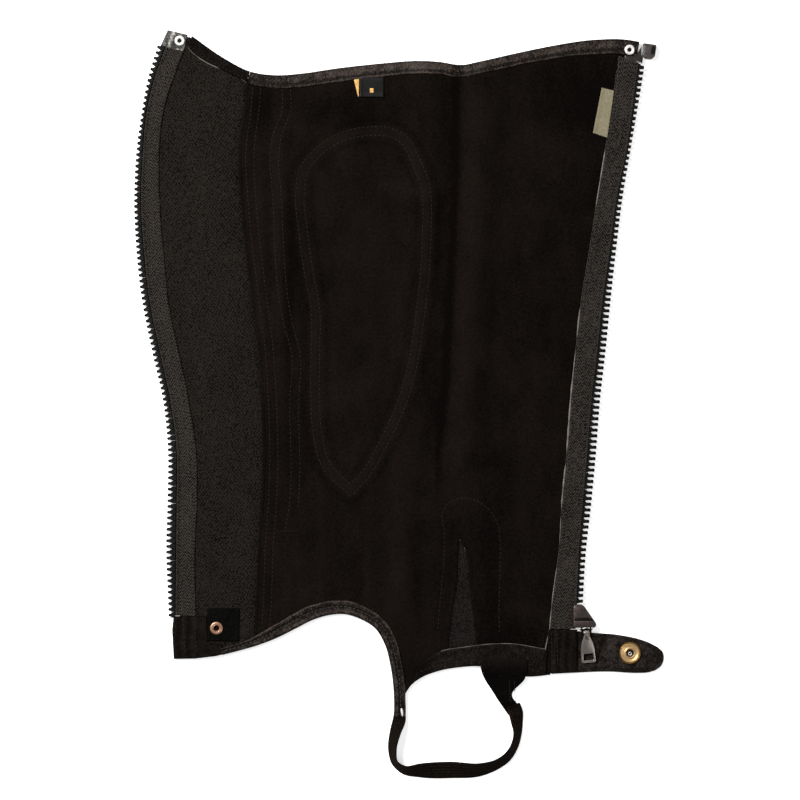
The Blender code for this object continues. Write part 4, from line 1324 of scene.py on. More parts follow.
    def make_lips(self) -> None:
        """Turned edges of the leather along the wedge's opening and the seam.

        Each is a flat oval swept along its line, a little sunk in the leather.
        """
        skin = Skin()
        seam = PATTERN.strip(Column.SEAM, 0.35, np.linspace(-166.0, 227.5, 300))
        sides = np.vstack([GUSSET_EDGE[5::-1], [(45.6, -96.4)], GUSSET_EDGE[10:5:-1]])
        opening = curve(sides, 1.2)
        angles = np.linspace(0, 2 * math.pi, 12, endpoint=False)
        for line, wide, high, lift in ((seam, 1.1, 0.55, -0.62), (opening, 1.7, 0.8, -0.50)):
            normals = inward(line)
            along = length_along(line)
            width = wide * (1 + 0.04 * np.sin(along / 5.1))
            rings = np.zeros((len(line), len(angles), 3))
            rings[..., :2] = line[:, None] + normals[:, None] * (width[:, None] * np.cos(angles))[..., None]
            ground = PATTERN.lie(line[:, 0], line[:, 1])[:, None] + SUEDE + lift
            rings[..., 2] = ground + high * np.sin(angles)
            skin.sweep(rings)
        skin.build("turned_edges", [self.finishes.edge_suede], slot="suede", outward=True)

    def make(self) -> None:
        """Builds the panels, the wedge and the turned edges."""
        self.make_leather()
        self.make_stretch()
        self.make_gusset()
        self.make_lips()


@dataclass(frozen=True)
class Binding:
    """A strip folded round an edge, with a stitch row that draws it in.

    Widths are given as x places and the width there; shown from above.
    """

    name: str
    node: str
    line: Array
    panel: float
    widths: Table
    row: float  # the stitch row's share of the width
    cut: Pair
    area: float
    slot: str
    pucker: float = 0.30
    wrinkle: float = 0.16
    last: Pair | None = None
    crimps: tuple[Triple, ...] = ()  # x, reach, depth
    shade: Table = ((-200.0, 200.0), (0.0, 0.0))  # tone at x places
    lit_shaded_bands: tuple[Triple, ...] = ()  # painted highlights and shade: share of the width, reach, tone
    glint_beads: Pair = (0.0, 0.0)  # depth and tone of the painted glints, in beads along the fold

    UPPER = np.r_[1.0, 0.94, np.linspace(0.88, 0.2, 12)]  # shares of the width, outward
    BEND = np.radians(np.linspace(68, -68, 9))
    LOWER = np.linspace(0.2, 0.92, 7)
    DROP = 0.55  # of the inner edge
    NOSE = 1.35  # radius of the fold

    def width(self, line: Array) -> Array:
        """What shows of the strip along the line."""
        return smooth(*self.widths, line[:, 0])

    def height(self, along: Array, depth: Array, width: Array, x: Array) -> Array:
        """Height of the upper leg's top above the panel's top.

        A leather's thickness with wrinkles that run across it, a furrow along the
        stitch row that is deepest at each stitch, and crimps where it bends.

        Args:
            along: distance along the edge.
            depth: distance from the outer edge.
            width: of the strip there.
            x: x of the edge there.

        Returns:
            The heights.
        """
        furrow = bell(depth - self.row * width, 0.95)
        beat = 0.72 + 0.28 * np.cos(2 * math.pi * along / Stitching.PITCH)
        folds = waves(along + 0.8 * depth, 0.35 * depth, (4.1, 6.3, 9.7, 15.0), len(self.name))
        rise = LAYER + BINDING - self.pucker * furrow * beat + self.wrinkle * folds
        for place, reach, deep in self.crimps:
            rise = rise - deep * bell(x - place, reach)
        return rise

    def make(self, finish: Material) -> None:
        """Sweeps the folded profile along the edge.

        Args:
            finish: of the strip.
        """
        line, normals = self.line, steadied(inward(self.line), 9)
        if self.last:
            blend = np.linspace(-3, 1, len(line)).clip(0, 1)[:, None]
            normals = normals * (1 - blend) + np.array(self.last) * blend
            normals /= np.linalg.norm(normals, axis=1)[:, None]
        along = length_along(line)
        ragged = 1 + 0.012 * np.sin(along / 4.7) + 0.012 * np.sin(along / 2.1 + 1)
        width = self.width(line) * ragged
        thick = self.panel + 2 * LAYER + 2 * BINDING
        depth, height = [], []
        for share in self.UPPER:  # the upper leg, from its inner edge outward
            depth.append(width * share)
            rise = self.height(along, width * share, width, line[:, 0])
            if share == 1:
                rise = rise - self.DROP
            height.append(self.panel + rise)
        for angle in self.BEND:  # round the outer edge
            depth.append(self.NOSE * (1 - math.cos(angle)) + 0 * along)
            swell = self.height(along, 1.0 + 0 * along, width, line[:, 0]) - LAYER - BINDING
            middle = (self.panel + LAYER - GAP) / 2
            height.append(middle + (0.49 * thick + max(0, math.sin(angle)) * 0.5 * swell) * math.sin(angle))
        for share in self.LOWER:
            depth.append(width * share)
            height.append(np.full(len(line), -GAP - BINDING))
        for shares, level in (((0.92, 0.5, 0.22), -GAP), ((0.22, 0.5, 0.98), self.panel + LAYER)):  # inside
            depth += [width * share for share in shares]
            height += [np.full(len(line), level)] * 3
        depth, height = np.stack(depth, 1), np.stack(height, 1)
        plan = line[:, None] + depth[..., None] * normals[:, None]
        ground = PATTERN.lie(plan[..., 0], plan[..., 1])
        rings = np.dstack([plan, ground + height])
        rings[..., 2] = np.maximum(rings[..., 2], 0.02)
        uv = np.stack(np.broadcast_arrays(along[:, None], depth), -1) * MM
        tone = 0.10 * waves(along[:, None], depth, (7.0, 12.0, 30.0), 3)
        # Painted shade in the stitch row's furrow.
        tone -= 0.25 * bell(depth - self.row * width[:, None], 0.8)
        tone += np.interp(line[:, 0], *self.shade)[:, None]
        # Painted highlight and shade in bands along the strip.
        for share, reach, amount in self.lit_shaded_bands:
            tone += amount * bell(depth - share * width[:, None], reach)
        # Painted glints in beads along the fold.
        if self.glint_beads[1]:
            beat = 0.55 + 0.45 * np.cos(2 * math.pi * along / 1.9)[:, None]
            beat = beat + 0.3 * waves(along[:, None], depth, (5.0, 9.0), 8)
            tone += self.glint_beads[1] * beat * bell(depth - self.glint_beads[0], 0.95)
        skin = Skin()
        skin.sweep(rings, uv, tone=tone)
        made = skin.build(self.name, [finish], [self.node], slot=self.slot, sharp=65, outward=True)


def top_lines() -> tuple[Array, Array]:
    """The top edge's fine lines, raised by the bindings' fold.

    Returns:
        The leather strip's line, and the matt one's.
    """
    fine = curve(TOP_EDGE, 1.0)
    fine[:, 1] += np.interp(
        fine[:, 0], (-146.0, -125.0, -104.0, -55.0, -27.0, 22.0, 71.0, 113.0, 141.0, 150.0),
        (0.0, 0.8, 1.1, 1.1, 0.85, 0.7, 0.55, 0.4, 0.1, 0.0),
    )
    leather = fine[fine[:, 0] >= -103.4]
    knit = np.vstack([(-104.3, 232.85), fine[(fine[:, 0] <= -104.6) & (fine[:, 0] >= -145.4)]])
    return np.vstack([leather, (-103.9, 232.6)]), knit


class Bindings:
    """The bindings on the top edge and round the arch."""

    def __init__(self, finishes: Wardrobe) -> None:
        """Sets out the three strips.

        Args:
            finishes: the finishes.
        """
        self.finishes = finishes
        leather, knit = top_lines()
        self.top = Binding(
            "top_binding_strip", "top_binding", leather, SUEDE,
            ((-110.0, -80.0, 115.0, 141.0, 175.0), (8.6, 9.3, 9.3, 10.4, 10.4)), 0.77, (0.025, 0.285), 0.0070,
            "bright_leather", crimps=((45.5, 3.0, 0.55), (39.5, 1.6, 0.3), (51.5, 1.6, 0.3)),
            shade=(
                (-104.0, -92.0, -76.0, -20.0, 20.0, 36.0, 41.0, 50.0, 56.0, 120.0, 150.0),
                (-0.32, -0.25, -0.12, 0.12, 0.10, 0.04, -0.28, -0.26, 0.0, -0.02, -0.14),
            ),
            lit_shaded_bands=((0.93, 0.6, 0.30), (0.77, 0.9, -0.25), (0.40, 1.8, 0.14), (0.06, 0.8, -0.10)),
        )
        self.knit = Binding(
            "top_binding_matt", "top_binding_stretch", knit, STRETCH,
            ((-150.0, -125.0, -104.0), (9.0, 8.2, 6.9)), 0.78, (0.020, 0.056), 0.00104,
            "matt_binding", wrinkle=0.08, last=(-0.24, -0.97),
        )
        self.arch = Binding(
            "arch_binding_strip", "arch_binding", curve(ARCH_EDGE, 1.0), SUEDE,
            ((-126.0, -112.0, -88.0, 5.0), (5.0, 5.0, 8.6, 8.2)), 0.56, (0.021, 0.205), 0.0041,
            "bright_leather", wrinkle=0.20, crimps=((-38.0, 2.4, 0.2), (-22.0, 2.0, 0.25)),
            shade=((-124.0, -98.0, -75.0, -20.0), (-0.22, -0.16, -0.08, -0.10)),
            lit_shaded_bands=((0.93, 0.5, 0.38), (0.55, 1.5, -0.25), (0.04, 0.7, -0.20)), glint_beads=(2.3, 0.45),
        )

    def make(self) -> None:
        """Builds the three strips."""
        self.top.make(self.finishes.bright)
        self.knit.make(self.finishes.matt)
        self.arch.make(self.finishes.bright)


@dataclass(frozen=True)
class ZipHalf:
    """One tape of the zip with its moulded teeth.

    A tooth is a rounded block on the tape's edge with a hooked head that stands out
    of it, in its points: outward from the edge, and along it. The left half's teeth
    are pushed together at their roots, and the right half's stand apart.
    """

    side: str
    tape: Column
    inner: Column
    teeth: Column
    level: float
    low: float
    high: float
    first: float  # the lowest tooth
    last: float
    cut: Pair
    pitch: float = 4.0

    BROAD = np.array([
        (-0.3, -1.98), (1.5, -1.98), (2.2, -1.7), (2.8, -1.05), (3.4, -1.15), (4.1, -1.1),
        (4.4, -0.5), (4.4, 0.3), (4.0, 0.85), (3.4, 0.9), (2.8, 0.95), (2.2, 1.6),
        (1.5, 1.98), (-0.3, 1.98),
    ])
    SLIM = np.array([
        (-0.3, -1.98), (0.8, -1.98), (1.3, -1.25), (2.0, -0.9), (2.8, -0.9), (3.4, -1.3),
        (4.0, -1.35), (4.4, -0.7), (4.4, 0.6), (3.9, 1.15), (3.2, 1.05), (2.6, 0.85),
        (1.9, 0.9), (1.3, 1.3), (0.8, 1.98), (-0.3, 1.98),
    ])
    PROFILE = ((-1.9, 0.35), (-1.55, 0.0), (1.55, 0.0), (1.95, 0.4))  # height, inset
    HEAD = 4.4  # how far a tooth's points stand out
    BEAD = (1.1, 0.55)  # half width and height of the tape's edge under the teeth

    @property
    def out(self) -> int:
        """-1 where the teeth stand out to the left, and 1 to the right."""
        return -1 if self.side == "left" else 1

    def make_tape(self, finishes: Wardrobe) -> None:
        """The woven tape, thicker along the edge that the teeth are moulded on.

        Args:
            finishes: the finishes.
        """
        rows = round((self.high - self.low) / 1.6)
        y = np.linspace(self.low, self.high, rows)
        v = np.r_[0, 0.03, 0.07, 0.11, 0.15, np.linspace(0.2, 0.9, 12), 0.95, 1.0]
        upper_end = fade((self.high - y) / 9)
        rise = 2.8 * upper_end if self.out < 0 else 0.0  # the left one's outer side goes up to the film
        tape, inner = PATTERN.strip(self.tape, 0, y + rise), PATTERN.strip(self.inner, 0, y)
        plan = tape[:, None] * (1 - v)[None, :, None] + inner[:, None] * v[None, :, None]
        if self.out > 0:  # the inner side goes up to the binding
            plan[..., 1] += 5.4 * v * upper_end[:, None]
        x, yy = plan[..., 0], plan[..., 1]
        depth = np.abs(x - tape[:, :1])
        base = PATTERN.lie(x, yy) + self.level
        half, high = self.BEAD
        bead = high * np.sqrt(np.clip(1 - ((depth - half) / half) ** 2, 0, 1))
        wide = np.abs(inner[:, :1] - tape[:, :1])
        hem = 0.10 * bell(wide - depth - 1.0, 0.7)
        ripple = 0.14 * waves(x, yy, (21.0, 34.0), 12) * np.clip((depth - 3) / 4, 0, 1)
        top = base + TAPE + bead + hem + ripple
        top[:, [0, -1]] = base[:, [0, -1]] + 0.5
        low = base - 0.35 * bead
        low[:, [0, -1]] = base[:, [0, -1]]
        along = np.broadcast_to(length_along(tape)[:, None], depth.shape)
        uv = np.stack([along, depth], -1) * MM
        tone = 0.10 * waves(x, yy, (40.0, 75.0), 9) - 0.20 * bell(depth - 2.4, 0.8)
        tone = tone + 0.10 * bell(depth - wide + 0.8, 0.6)
        if self.out > 0:
            plan, top, low, uv, tone = (grid[:, ::-1] for grid in (plan, top, low, uv, tone))
        skin = Skin()
        skin.shell(plan, top, low, None, uv, tone, (0, 0, 0))
        node = f"zip_tape_{self.side}"
        made = skin.build(f"{node}_cloth", [finishes.tape], [node], slot="woven_tape")

    def make_teeth(self, finishes: Wardrobe) -> None:
        """The row of teeth at an even pitch, each turned along the tape's edge.

        Args:
            finishes: the finishes.
        """
        fine = np.linspace(self.first, self.last, 600)
        edge = PATTERN.strip(self.tape, 0, fine)
        along = length_along(edge)
        count = int(along[-1] // self.pitch) + 1
        at = np.arange(count) * self.pitch
        y = np.interp(at, along, fine)
        spot = PATTERN.strip(self.tape, 0, y)
        reach = np.abs(PATTERN.side(self.teeth, y) - spot[:, 0])
        run = PATTERN.strip(self.tape, 0, y + 0.5) - PATTERN.strip(self.tape, 0, y - 0.5)
        run /= np.linalg.norm(run, axis=1)[:, None]
        away = self.out * np.column_stack([run[:, 1], -run[:, 0]])
        tooth = self.BROAD if self.out < 0 else self.SLIM
        middle = tooth.mean(0)
        off = tooth - middle
        size = np.linalg.norm(off, axis=1)[:, None]
        rings = np.array([
            np.column_stack([middle + off * (1 - inset / size), np.full(len(tooth), height)])
            for height, inset in self.PROFILE
        ])
        rng = np.random.default_rng(3)
        stretch = np.where(rings[..., 0] > 0, 1, 0)[None] * (reach / self.HEAD - 1)[:, None, None] + 1
        out = rings[None, ..., 0] * stretch
        beside = rings[None, ..., 1] * (1 + rng.uniform(-0.06, 0.06, (count, 1, 1)))
        ground = PATTERN.lie(spot[:, 0], spot[:, 1]) + self.level + TAPE / 2
        ground = np.maximum(ground + rng.uniform(-0.12, 0.12, count), 1.93)
        points = np.empty((count, *rings.shape[:2], 3))
        points[..., :2] = (
            spot[:, None, None]
            + out[..., None] * away[:, None, None]
            + beside[..., None] * run[:, None, None]
        )
        points[..., 2] = ground[:, None, None] + rings[None, ..., 2]
        skin = Skin()
        for tooth in points:
            skin.sweep(tooth)
        skin.build(
            f"zip_teeth_{self.side}", [finishes.moulded], [f"zip_chain_{self.side}"], slot="moulded_teeth",
            sharp=48, outward=True,
        )


LEFT_HALF = ZipHalf(
    "left", Column.LEFT_TAPE, Column.LEFT_INNER, Column.LEFT_TEETH, LEFT_LEVEL,
    -148.0, 246.8, -147.5, 250.6, (0.0140, 0.403),
)
RIGHT_HALF = ZipHalf(
    "right", Column.RIGHT_TAPE, Column.RIGHT_INNER, Column.RIGHT_TEETH, RIGHT_LEVEL,
    -157.2, 238.0, -137.5, 236.4, (0.0150, 0.402),
)


@dataclass(frozen=True)
class Trims:
    """The flat pieces on the panels: strap, facing, tabs, films, patch and labels."""

    finishes: Wardrobe

    # Painted highlights at the films' crinkles, and clear places: middle, reach and amount.
    LEFT_FILM_GLINTS = (
        (-157.6, 259.2, 1.1, 1.5, 1.0), (-159.2, 256.4, 0.9, 2.2, 0.9), (-160.6, 252.0, 0.8, 2.6, 0.8),
        (-155.2, 260.6, 1.0, 0.7, -0.5), (-150.4, 259.5, 1.6, 0.8, 0.5), (-154.8, 248.0, 1.2, 0.7, 0.7),
        (-152.0, 246.9, 0.7, 1.2, 0.7), (-149.8, 249.6, 1.0, 2.0, 0.35), (-157.3, 251.4, 1.0, 1.4, -0.35),
        (-154.0, 258.0, 2.4, 1.2, 0.25), (-164.4, 252.0, 1.4, 3.0, 0.12),
    )
    RIGHT_FILM_GLINTS = ((159.0, 240.2, 1.6, 0.9, 0.9), (166.6, 238.6, 1.3, 0.8, 0.7))

    def make_facing(self) -> None:
        """The facing on the hem, with a lip along its upper edge."""
        columns, rows = 110, 16
        hem = curve(HEM_EDGE, 1.0)
        hem = hem[(hem[:, 0] >= 9.5) & (hem[:, 0] <= 103.6)]
        bottom, top = curve(hem, count=columns), curve(FACING_TOP, count=columns)
        plan = patch(bottom, straight([bottom[-1], top[-1]], rows), top, straight([bottom[0], top[0]], rows))
        x, y = plan[..., 0], plan[..., 1]
        away = nearest(top, x, y)[0]
        tone = 0.35 * bell(away, 0.9) * fade((30 - x) / 6) - 0.42 * fade((x - 16) / 14)
        tone = tone + 0.10 * waves(x, y, (6.0, 11.0), 9)
        tone = tone - 0.16 * fade((58 - x) / 3) * (1 - 0.6 * bell(away - 3, 2.5))
        Sheet(
            "hem_facing_leather", "hem_facing", RIGHT_LEVEL, FACING, (0.094, 0.024), 0.00138, "bright_leather",
            uneven=0.16,
        ).lay(plan, [self.finishes.facing], tone=tone, raised=0.28 * bell(away, 1.1))

    def make_tabs(self) -> None:
        """The leather tabs over the tapes' lower ends."""
        columns, rows = 74, 60
        xs = np.linspace(-157.6, -123.6, columns)
        bottom = by_x([(-157.6, -178.4), (-142.8, -178.1), (-128.0, -176.3), (-123.6, -175.2)], xs)
        top = by_x([(-157.6, -148.4), (-134.5, -148.4), (-134.2, -166.4), (-123.6, -168.6)], xs)
        left = straight([bottom[0], (-158.7, -158.0), top[0]], rows)
        plan = patch(bottom, straight([bottom[-1], top[-1]], rows), top, left)
        x, y = plan[..., 0], plan[..., 1]
        creases = 0.16 * np.sin(x / 1.1 + 0.6 * np.sin(y / 7)) * fade((x + 143) / 8)
        # Lighter on the creases' ridges and darker in their troughs: painted light and shade.
        tone = 1.2 * creases + 0.16 * waves(x, y, (4.0, 9.0, 14.0), 2)
        Sheet(
            "bottom_tab_left_leather", "bottom_tab_left", LEFT_LEVEL, TAB, (0.036, 0.030), 0.00081,
            "worn_leather", ("stretch_panel_cloth",),
        ).lay(plan, [self.finishes.worn], tone=tone, raised=creases)
        plan = quad([(104.0, -188.6), (124.6, -187.4), (124.6, -157.6), (104.0, -157.6)], 46, 60)
        x, y = plan[..., 0], plan[..., 1]
        creases = 0.20 * np.sin(x / 0.95 + 0.8 * np.sin(y / 6)) * (0.4 + 0.6 * fade((x - 112) / 10))
        # Lighter on the creases' ridges and darker in their troughs: painted light and shade.
        tone = 1.3 * creases + 0.1 * waves(x, y, (4.0, 9.0), 3)
        Sheet(
            "bottom_tab_right_leather", "bottom_tab_right", STRAP + LAYER, TAB, (0.0206, 0.0306), 0.00062,
            "worn_leather",
        ).lay(plan, [self.finishes.worn], tone=tone, raised=creases)

    def make_films(self) -> None:
        """The glossy films on the tapes' upper ends."""
        plan = quad([(-167.3, 249.5), (-150.8, 245.8), (-147.7, 258.2), (-161.7, 261.5)], 56, 42)
        x, y = plan[..., 0], plan[..., 1]
        tone = 0.12 * np.sin((x + 0.6 * y) / 0.33) - 0.05 + spots(x, y, self.LEFT_FILM_GLINTS)
        Sheet(
            "zip_end_left_film", "zip_end_left", LEFT_LEVEL, FILM, (0.0170, 0.0130), 0.000214, "clear_film",
            ("stretch_panel_cloth",),
        ).lay(
            plan, [self.finishes.film], holes=[(RIVET_LEFT, FILM_CUT)], tone=tone,
            raised=0.12 * waves(x, y, (5.0, 8.0, 13.0), 4),
        )
        low = [(157.8, 239.4), (163.2, 237.8), (169.5, 238.9)]
        high = [(157.8, 243.8), (165.0, 243.0), (169.6, 250.2)]
        sides = [straight([low[end], high[end]], 14) for end in (-1, 0)]
        plan = patch(straight(low, 30), sides[0], straight(high, 30), sides[1])
        Sheet(
            "zip_end_right_film", "zip_end_right", RIGHT_LEVEL, FILM, (0.0107, 0.0055), 0.000046, "clear_film",
            own=False,
        ).lay(plan, [self.finishes.film], tone=spots(plan[..., 0], plan[..., 1], self.RIGHT_FILM_GLINTS) - 0.12)

    def make_patch(self) -> None:
        """The patch behind the snap's post, with one corner turned over."""
        plan = quad([(-134.0, -165.4), (-112.0, -165.8), (-111.7, -142.8), (-134.0, -142.8)], 60, 60)
        x, y = plan[..., 0], plan[..., 1]
        across = (x + 116.9) * 0.83 + (y + 144.2) * -0.55  # across the turned corner's line
        # The turned corner's fold: a ridge, with painted shade along it.
        line = bell(across, 0.9) * fade((-148 - y) / 8) * fade((y + 158) / -6)
        Sheet(
            "snap_backing_cloth", "snap_backing", LEFT_LEVEL, TAPE, (0.0222, 0.0228), 0.00050, "patch",
            ("stretch_panel_cloth",),
        ).lay(
            plan, [self.finishes.backing], cloth_uv(plan), [(POST, POST_CUT)], -0.2 * line,
            0.35 * line + 0.14 * waves(x, y, (6.0, 11.0, 17.0), 7),
        )

    def make_labels(self) -> None:
        """The satin label, the gold one behind it, and the bare woven one."""
        plan = quad([(-27.4, 214.8), (-10.8, 214.6), (-10.8, 228.4), (-27.6, 228.0)], 40, 34)
        curl = 0.7 * fade((plan[..., 1] - 214.8) / 5) ** 2 + 0.25 * fade((plan[..., 0] + 27.4) / 3)
        Sheet(
            "size_label_satin", "size_label", RIGHT_LEVEL, LABEL, (0.0167, 0.0135), 0.000224, "black_satin",
        ).lay(plan, [self.finishes.satin], cloth_uv(plan), raised=curl)
        Sheet(
            "size_label_gold", "size_label_back", RIGHT_LEVEL, LABEL, (0.0167, 0.0135), 0.000224, "gold_thread",
            own=False,
        ).lay(
            quad([(-28.8, 215.2), (-28.0, 215.2), (-28.0, 227.8), (-31.5, 227.0)], 8, 30),
            [self.finishes.gold_thread],
        )
        low, high = 186.3, 219.1  # of the end at the tape
        ends = PATTERN.side(Column.RIGHT_INNER, np.array([low, high])) - 0.4
        plan = quad([(135.7, 189.7), (ends[0], low), (ends[1], high), (141.8, 221.3)], 26, 70)
        x, y = plan[..., 0], plan[..., 1]
        curl = 0.5 * fade((x - 135.7 - (y - 189.7) * 0.193) / 3.5) + 0.25 * np.sin(y / 5.2)
        Sheet(
            "side_label_weave", "side_label", RIGHT_LEVEL, LABEL, (0.0122, 0.0325), 0.00037, "tan_weave",
        ).lay(plan, [self.finishes.tan], cloth_uv(plan), raised=curl)

    def make_strap(self) -> None:
        """The strap with its round end; its grain side is up."""
        columns, rows = 150, 60
        low = curve([
            (107.0, -188.9), (120.6, -188.2), (147.4, -187.3), (167.5, -188.2), (174.0, -187.9), (179.4, -186.4),
        ], count=columns)
        high = curve([
            (107.0, -158.6), (124.0, -158.8), (135.4, -160.0), (154.1, -161.6), (167.5, -164.3), (175.4, -167.1),
            (181.2, -170.2),
        ], count=columns)
        end = curve([low[-1], (183.5, -183.1), (185.3, -177.0), (184.4, -173.3), high[-1]], count=rows)
        plan = patch(low, end, high, straight([low[0], high[0]], rows))
        x, y = plan[..., 0], plan[..., 1]
        away = nearest(np.vstack([low, end, high[::-1]]), x, y)[0]
        groove = bell(away - 2.2, 0.8)
        free = 1 - fade((x - 128) / 8)
        raised = free * (0.14 * waves(x, y, (7.0, 12.0, 19.0), 5) - 0.22 * groove) - 0.35 * bell(away, 0.7)
        creases = 0.25 * bell(x - 141 - 0.3 * (y + 172), 1.4) * free
        # Painted shade in the stitch groove and in the crease's trough.
        tone = -0.25 * groove - 1.2 * creases + 0.1 * waves(x, y, (5.0, 9.0), 2)
        Sheet(
            "snap_strap_leather", "snap_strap", 0.0, STRAP, (0.080, 0.031), 0.00207, "strap_leather", (),
        ).lay(
            plan, [self.finishes.strap, self.finishes.suede], holes=[(SOCKET, SOCKET_CUT)], tone=tone,
            raised=raised - creases,
        )

    def make(self) -> None:
        """Builds every flat piece, the strap first."""
        self.make_strap()
        self.make_facing()
        self.make_tabs()
        self.make_films()
        self.make_patch()
        self.make_labels()


@dataclass(frozen=True)
class Stirrup:
    """The suede wing on the hem, and the elastic that goes under the boot."""

    finishes: Wardrobe
    stations: tuple[Triple, ...] = (
        (0.5, -214.5, 8.0), (0.2, -220.6, 9.0), (-2.4, -228.9, 7.6), (-4.6, -241.9, 5.6), (-2.9, -250.6, 4.6),
        (3.4, -255.6, 6.4), (15.4, -256.2, 10.3), (35.7, -256.0, 11.7), (57.8, -255.4, 9.4),
        (68.6, -251.7, 7.4), (74.9, -247.5, 6.7), (80.5, -239.4, 5.6), (82.9, -229.4, 6.0),
        (82.4, -221.6, 8.6), (81.4, -214.6, 10.2), (79.9, -210.4, 9.4),
    )
    wide: float = 12.0
    thick: float = 1.5
    cords: int = 8

    def make_wing(self) -> None:
        """The wing, with soft pleats that run from the hem to the elastic."""
        rows, columns = 76, 54
        left = curve([(76.3, -217.4), (67.1, -203.8), (57.0, -183.5), (57.3, -176.4)], count=rows)
        right = [(85.2, -217.4), (84.6, -213.2), (79.1, -203.8), (88.3, -191.4), (90.1, -178.5)]
        right = curve(right, count=rows)
        top = curve([left[-1], (73.0, -177.6), right[-1]], count=columns)
        plan = patch(straight([left[0], right[0]], columns), right, top, left)
        x, y = plan[..., 0], plan[..., 1]
        across = np.linspace(0, 1, columns)[None, :]
        down = np.linspace(1, 0, rows)[:, None]
        pleat = 0.45 * np.sin(2 * math.pi * (1.4 * across + 0.2)) * np.sin(math.pi * across)
        pleat = pleat * down * (1 - 0.4 * down)
        sheet = Sheet(
            "stirrup_wing_suede", "stirrup_wing", 0.0, WING, (0.033, 0.046), 0.00083, "suede",
            under=PATTERN.over_hem,
        )
        # Painted light on the pleats' crests and painted shade in their folds; lighter too at its upper end and
        # along its left edge.
        tone = 0.35 * pleat - 0.22 + 0.55 * fade((-177 - y) / 12) + 0.25 * bell(nearest(left, x, y)[0], 0.9)
        sheet.lay(plan, [self.finishes.wing_suede, self.finishes.outer], tone=tone, raised=pleat)

    def make_elastic(self) -> None:
        """The elastic: a ribbed ribbon that stands on its edge where it bends.

        A rounded oblong with a row of cords on its faces is swept along the stations.
        It is rolled by the angle whose cosine is the share of its width that shows.
        """
        points = np.array(self.stations)
        along = length_along(points[:, :2])
        at = np.linspace(0, along[-1], 190)
        x, y = smooth(along, points[:, 0], at), smooth(along, points[:, 1], at)
        shown = smooth(along, points[:, 2], at)
        ends = np.minimum(at, along[-1] - at)
        gathered = np.interp(ends, (2.0, 15.0), (0.70, 1.0)) + 0.12 * fade((along[-1] - at) / 12)
        roll = np.arccos(np.clip(shown / (self.wide * gathered), 0, 1))
        side = inward(np.column_stack([x, y]))
        face = np.linspace(-1, 1, 42)
        half = self.thick / 2
        bulge = 0.13 * np.abs(np.cos(math.pi * self.cords * (face + 1) / 2)) + 0.87
        thin = half * bulge * np.sqrt(np.clip(1.02 - face**8, 0.06, 1))
        across = np.r_[face, face[::-1]] * self.wide / 2
        out = np.r_[thin, -thin[::-1]]
        wide_way = np.column_stack([side * np.cos(roll)[:, None], np.sin(roll)])
        thin_way = np.column_stack([-side * np.sin(roll)[:, None], np.cos(roll)])
        beat = 1 + 0.05 * np.sin(at / 0.55)
        rings = (
            np.column_stack([x, y, 0 * x])[:, None]
            + wide_way[:, None] * (across[None, :] * gathered[:, None])[..., None]
            + thin_way[:, None] * (out[None, :] * beat[:, None])[..., None]
        )
        rings[..., 2] -= rings[..., 2].min(1)[:, None]
        sewn = 1.55 * fade((at - 3) / 9) + 1.35 * fade((along[-1] - at - 5) / 8)
        rings[..., 2] += sewn[:, None]
        uv = np.stack(np.broadcast_arrays(at[:, None], across[None] + self.wide / 2), -1) * MM
        dip = 0.16 * np.cos(2 * math.pi * self.cords * (np.r_[face, face[::-1]] + 1) / 2)
        skin = Skin()
        skin.sweep(rings, uv, tone=np.broadcast_to(dip, rings.shape[:2]))
        made = skin.build(
            "stirrup_elastic_ribbon", [self.finishes.webbing], ["stirrup_elastic"], slot="elastic", sharp=75,
            outward=True,
        )

    def make(self) -> None:
        """Builds the wing and the elastic."""
        self.make_wing()
        self.make_elastic()


class Stitching:
    """The stitch rows: lines on the cloth, and the thread's short stitches in them."""

    PITCH = 3.0

    @staticmethod
    def teardrop(shift: float) -> Array:
        """The knee pad's row, moved inward by shift.

        Args:
            shift: how far it is moved.

        Returns:
            The row's points.
        """
        points = np.array([
            (-33.6, -65.1), (-53.9, -43.4), (-60.2, -19.6), (-61.6, 2.8), (-61.6, 30.8), (-61.6, 67.2),
            (-66.5, 93.8), (-69.3, 114.8), (-72.1, 149.8), (-69.3, 165.2), (-62.3, 175.0), (-48.3, 186.2),
            (-34.3, 191.8), (-20.3, 193.9), (-6.3, 193.2), (4.9, 187.6), (13.3, 173.6), (20.3, 156.8),
            (22.4, 117.6), (21.7, 100.8), (17.5, 58.8), (11.9, 23.8), (3.5, -4.2), (-6.3, -25.2),
            (-20.3, -49.7), (-33.6, -65.1),
        ])
        fine = curve(points)
        moved = fine - shift * inward(fine)
        clear = nearest(fine, moved[:, 0], moved[:, 1])[0] > 0.93 * shift
        return moved[clear] if shift else fine

    @staticmethod
    def side_rows() -> list[Array]:
        """Two rows beside the seam, and two on the leather left of the knee pad.

        Returns:
            The four rows.
        """
        y = np.linspace(-158.0, 224.0, 190)
        rows = [PATTERN.strip(Column.SEAM, shift, y) for shift in (4.3, 9.9)]
        pair = curve([
            (-81.9, 224.0), (-82.3, 203.0), (-87.5, 190.4), (-90.3, 170.8), (-88.9, 152.6), (-81.2, 58.8),
            (-74.9, 33.6), (-76.3, 2.8), (-75.6, -53.2), (-76.3, -67.2), (-79.5, -88.0),
        ])
        rows += [pair, pair[: round(0.96 * len(pair))] + (6.1, 0.0)]
        return rows

    @staticmethod
    def ankle_row() -> Array:
        """The row round the top of the wedge."""
        return curve([
            (27.0, -158.0), (29.4, -131.6), (31.5, -88.2), (30.2, -76.0), (35.6, -68.6), (46.2, -65.8),
            (56.0, -68.6), (63.7, -74.9), (68.6, -82.6), (70.7, -97.3), (70.7, -114.1), (70.0, -151.2),
            (70.4, -163.0),
        ])

    @classmethod
    def channels(cls) -> list[Array]:
        """The rows that draw a soft channel in the leather."""
        return [cls.teardrop(0.0), cls.teardrop(6.0), *cls.side_rows(), cls.ankle_row()]


# ---------------------------------------------------------------- hard pieces


